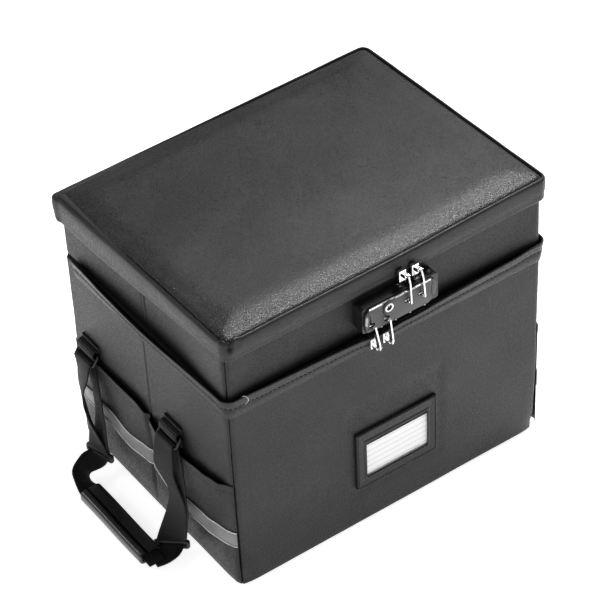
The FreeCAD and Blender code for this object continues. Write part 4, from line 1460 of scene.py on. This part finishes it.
def prism(outline, y_front, y_back, bevel=0.6):
    """Plate with a bevelled front edge. Its (x, z) outline runs anticlockwise, seen from the front."""
    n = len(outline)
    rings = []
    for y, inset in ((y_back, 0.0), (y_front + bevel, 0.0), (y_front + bevel * 0.3, bevel * 0.35),
                     (y_front, bevel)):
        ring = []
        for i, (x, z) in enumerate(outline):
            (ax, az), (bx, bz) = outline[i - 1], outline[(i + 1) % n]
            e1, e2 = Vector((x - ax, z - az)).normalized(), Vector((bx - x, bz - z)).normalized()
            inward = Vector((-e1.y - e2.y, e1.x + e2.x))
            size = inward.length
            inward = inward / size if size > 1e-6 else Vector((0, 0))
            k = inset / max(0.35, size / 2)
            ring.append((x + inward.x * k, y, z + inward.y * k))
        rings.append(ring)
    return tube(rings)


def cut(obj, cutters):
    """Take solids out of a mesh and keep the result as plain mesh."""
    for verts, faces in cutters:
        mesh = bpy.data.meshes.new("cutter")
        mesh.from_pydata([tuple(c * MM for c in v) for v in verts], [], faces)
        tool = bpy.data.objects.new("cutter", mesh)
        bpy.context.scene.collection.objects.link(tool)
        mod = obj.modifiers.new("cut", "BOOLEAN")
        mod.operation = "DIFFERENCE"
        mod.solver = "EXACT"
        mod.object = tool
        bpy.context.view_layer.update()
        result = bpy.data.meshes.new_from_object(obj.evaluated_get(bpy.context.evaluated_depsgraph_get()))
        obj.modifiers.remove(mod)
        obj.data = result
        bpy.data.objects.remove(tool)
        bpy.data.meshes.remove(mesh)


def disc(x, z, radius, y0, y1, sides=20, inner=0.0):
    """Short round boss along y, or a ring if inner is given."""
    if inner:
        sections = []
        mid = (radius + inner) / 2
        for c, d in circle(sides):
            sections.append([(x + r * c, y, z + r * d) for r, y in
                             ((inner, y1), (inner, y0 + 0.3), (mid, y0), (radius, y0 + 0.3), (radius, y1))])
        return tube(sections, closed=True)
    rings = []
    for y, r in ((y1, radius), (y0 + 0.2, radius), (y0, radius - 0.25)):
        rings.append([(x + r * c, y, z + r * d) for c, d in circle(sides)])
    return tube(rings)


SOCKETS = ((11.4, 294.2), (29.0, 294.0), (-32.2, 284.0), (-14.2, 284.2))
KEY = (-12.4, 298.0)
KEY_HOLE = 3.3
DIAL_AXIS = (-154.8, 301.4)


def curved_groove(x0, bow, z0, rise, half, depth):
    """Cutter for a thin curved groove in the lock's face."""
    curve = [(x0 + bow * math.sin(math.pi * k / 10) ** 0.8, z0 + rise * k) for k in range(11)]
    groove = [(x - half, z) for x, z in curve] + [(x + half, z) for x, z in curve[::-1]]
    return prism(groove[::-1], FACE_Y - 1.0, FACE_Y + depth, 0.01)


def make_lock_face():
    f = FACE_Y
    outline = rounded_outline([(-38.9, 277.6), (-36.0, 276.6), (38.0, 276.6), (45.5, 284.0), (48.0, 292.0),
                               (47.0, 301.5), (43.0, 305.4), (-14.5, 305.4), (-33.5, 305.4), (-40.6, 300.5),
                               (-41.6, 288.0)], 2.2)
    face = piece("lock_face", prism(outline, f, f + 2.8, 0.7), LOCK_GREY, "tray",
                 ["lock_face_plate"],
                 sharp=30)
    holes = []
    for x, z in SOCKETS:
        slot = rounded_outline([(x - 3.4, z - 2.7), (x + 3.0, z - 2.7), (x + 3.0, z + 2.7),
                                (x - 3.4, z + 2.7)], 1.2, 3)
        holes.append(prism(slot, f - 1.0, f + 4.0, 0.01))
    holes.append(disc(*KEY, KEY_HOLE, f - 1.0, f + 4.0))
    holes.append(curved_groove(-37.6, 3.4, 281.0, 2.15, 0.45, 0.9))
    holes.append(curved_groove(43.6, -2.6, 281.5, 2.1, 0.3, 0.6))
    cut(face, holes)


def make_lock_key():
    f = FACE_Y
    arch = [(-19.0, 292.4), (-17.0, 291.2), (-12.4, 290.6), (-7.8, 291.2), (-5.8, 292.4), (-5.6, 299.5),
            (-8.0, 304.0), (-11.5, 307.4), (-16.5, 304.6), (-19.2, 299.5)]
    shape = prism(rounded_outline(arch, 1.6, 3), f - 1.3, f + 0.2, 0.6)
    boss = piece("lock_key_boss", shape, BLACK_PLASTIC, "tray", sharp=30)
    cut(boss, [disc(*KEY, KEY_HOLE, f - 3.0, f + 2.0)])
    piece("lock_key_ring", disc(*KEY, 5.0, f - 2.1, f - 1.0, 28, 3.35), CHROME, "tray", sharp=40)


def make_lock_trim():
    """Pale edges round the face, and the bright pins in its sockets."""
    f = FACE_Y
    edge = [(-38.6, 285.0), (-36.7, 291.6), (-38.2, 298.6), (-40.3, 297.8), (-40.8, 288.5)]
    pale = [prism(edge, f - 0.35, f + 0.2, 0.3)]
    for x0, x1 in ((-36.5, -19.8), (-4.4, 7.0), (8.4, 40.5)):
        edge = [(x0, 304.3), (x1, 304.3), (x1 - 0.5, 305.9), (x0 + 0.5, 305.9)]
        pale.append(prism(edge, f - 0.5, f + 0.8, 0.3))
    for x in (-22.5, -5.0, 13.0, 31.0):
        edge = [(x, 276.1), (x + 2.6, 276.1), (x + 2.2, 277.5), (x + 0.4, 277.5)]
        pale.append(prism(edge, f - 0.3, f + 0.8, 0.2))
    piece("lock_edge_trim", merged(pale), LOCK_PALE, "tray", sharp=30)
    pins = [disc(x - 1.6, z, 1.0, f + 0.4, f + 3.2, 12) for x, z in SOCKETS]
    piece("lock_socket_pins", merged(pins), STEEL, "tray", sharp=40)


def make_dial_marks():
    """Ten pale marks round each number dial."""
    profile = ((-1.1, 6.5), (-1.1, 6.78), (1.1, 6.78), (1.1, 6.5))
    for number, x in enumerate((8.5, 19.0, 29.5), 1):
        marks = []
        for k in range(10):
            ends = []
            for turn in (-0.045, 0.045):
                a = 2 * math.pi * k / 10 + turn
                ends.append([(x + off, DIAL_AXIS[0] + r * math.cos(a), DIAL_AXIS[1] + r * math.sin(a))
                             for off, r in profile])
            marks.append(tube(ends))
        piece("dial_%d_marks" % number, merged(marks), PALE_PRINT_AND_EDGE_HIGHLIGHT, "number_dial_%d" % number,
              smooth=False)


make_lock_face()
make_lock_key()
make_lock_trim()
make_dial_marks()


# ======================= spring under the release button =======================
def make_spring_coil():
    """Release button's spring: a wire coil of five turns, filling the box of the spring node it replaces."""
    low, high = box_mm("button_spring")
    cx, cy = (low[0] + high[0]) / 2, (low[1] + high[1]) / 2
    wire = 0.22
    radius = (high[0] - low[0]) / 2 - wire
    steps = 120
    path = []
    for k in range(steps + 1):
        a = 2 * math.pi * 5 * k / steps
        t = smooth((k - 10) / (steps - 20)) if k < 14 or k > steps - 14 else (k - 10) / (steps - 20)
        path.append((cx + radius * math.cos(a), cy + radius * math.sin(a),
                     low[2] + wire + (high[2] - low[2] - 2 * wire) * t))
    coil = piece("release_spring_coil", pipe(path, wire, 6), STEEL, "tray", ["button_spring"])
    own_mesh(coil)


make_spring_coil()


# ======================= materials of the CAD nodes that stay =======================
def dress(material, *nodes):
    """Give carried-over nodes a procedural material."""
    for name in nodes:
        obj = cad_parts[name]
        obj = obj if hasattr(obj, "data") else bpy.data.objects[name]
        obj.data.materials.clear()
        obj.data.materials.append(material)


dress(BOARD, "base_end_boards", "base_side_boards", "bottom_board", "tray_boards")
dress(STEEL, "catch_bar", "dial_shaft", "lock_back_plate", "lock_screws")
dress(CARD, "index_card")
dress(FILM, "label_window")
dress(BLACK_PLASTIC, "lock_housing", "number_dial_1", "number_dial_2", "number_dial_3", "release_button")
dress(CHROME, "key_plug", *["%s_%s_%s" % (row, side, kind) for row in ("upper", "lower")
                            for side in ("left", "right") for kind in ("slider", "pull")])


# ======================= stage =======================
def make_stage():
    """Pale floor, soft studio lights and a white surround."""
    mesh = bpy.data.meshes.new("floor")
    size = 6.0
    mesh.from_pydata([(-size, -size, 0), (size, -size, 0), (size, size, 0), (-size, size, 0)], [],
                     [(0, 1, 2, 3)])
    floor = bpy.data.objects.new("floor", mesh)
    bpy.context.scene.collection.objects.link(floor)
    m = Nodes("pale_floor", Roughness=0.9, Specular_IOR_Level=0.1)
    m.colour(m.ramp(m.noise(3.0), grey(0.93), grey(0.95)))
    m.bsdf.inputs["Emission Color"].default_value = (1, 1, 1, 1)
    m.bsdf.inputs["Emission Strength"].default_value = 0.78
    mesh.materials.append(m.mat)
    world = bpy.data.worlds.new("studio")
    bpy.context.scene.world = world
    world.use_nodes = True
    world.node_tree.nodes["Background"].inputs[0].default_value = (1, 1, 1, 1)
    world.node_tree.nodes["Background"].inputs[1].default_value = 0.20
    lights = (("overhead_softbox", (0.85, 0.22, 2.15), (0.1, -0.05, 0.3), 0.8, 0.34, 56.0),
              ("rear_left_strip", (-1.6, 1.6, 1.35), (0.0, 0.0, 0.3), 0.9, 0.22, 7.0),
              ("front_right_strip", (1.0, -1.6, 1.8), (0.0, 0.0, 0.3), 0.9, 0.2, 4.0),
              ("right_softbox", (2.2, 0.9, 1.5), (0.0, 0.0, 0.3), 1.0, 1.0, 13.0),
              ("front_left_softbox", (-2.3, -1.7, 1.5), (0.0, 0.0, 0.15), 1.6, 1.4, 17.0))
    for name, place, target, sx, sy, power in lights:
        data = bpy.data.lights.new(name, "AREA")
        data.shape = "RECTANGLE"
        data.size = sx
        data.size_y = sy
        data.energy = power
        light = bpy.data.objects.new(name, data)
        bpy.context.scene.collection.objects.link(light)
        light.location = place
        light.rotation_euler = (Vector(target) - Vector(place)).to_track_quat("-Z", "Y").to_euler()
    bpy.context.scene.view_settings.view_transform = "Standard"
    bpy.context.scene.view_settings.look = "None"


make_stage()
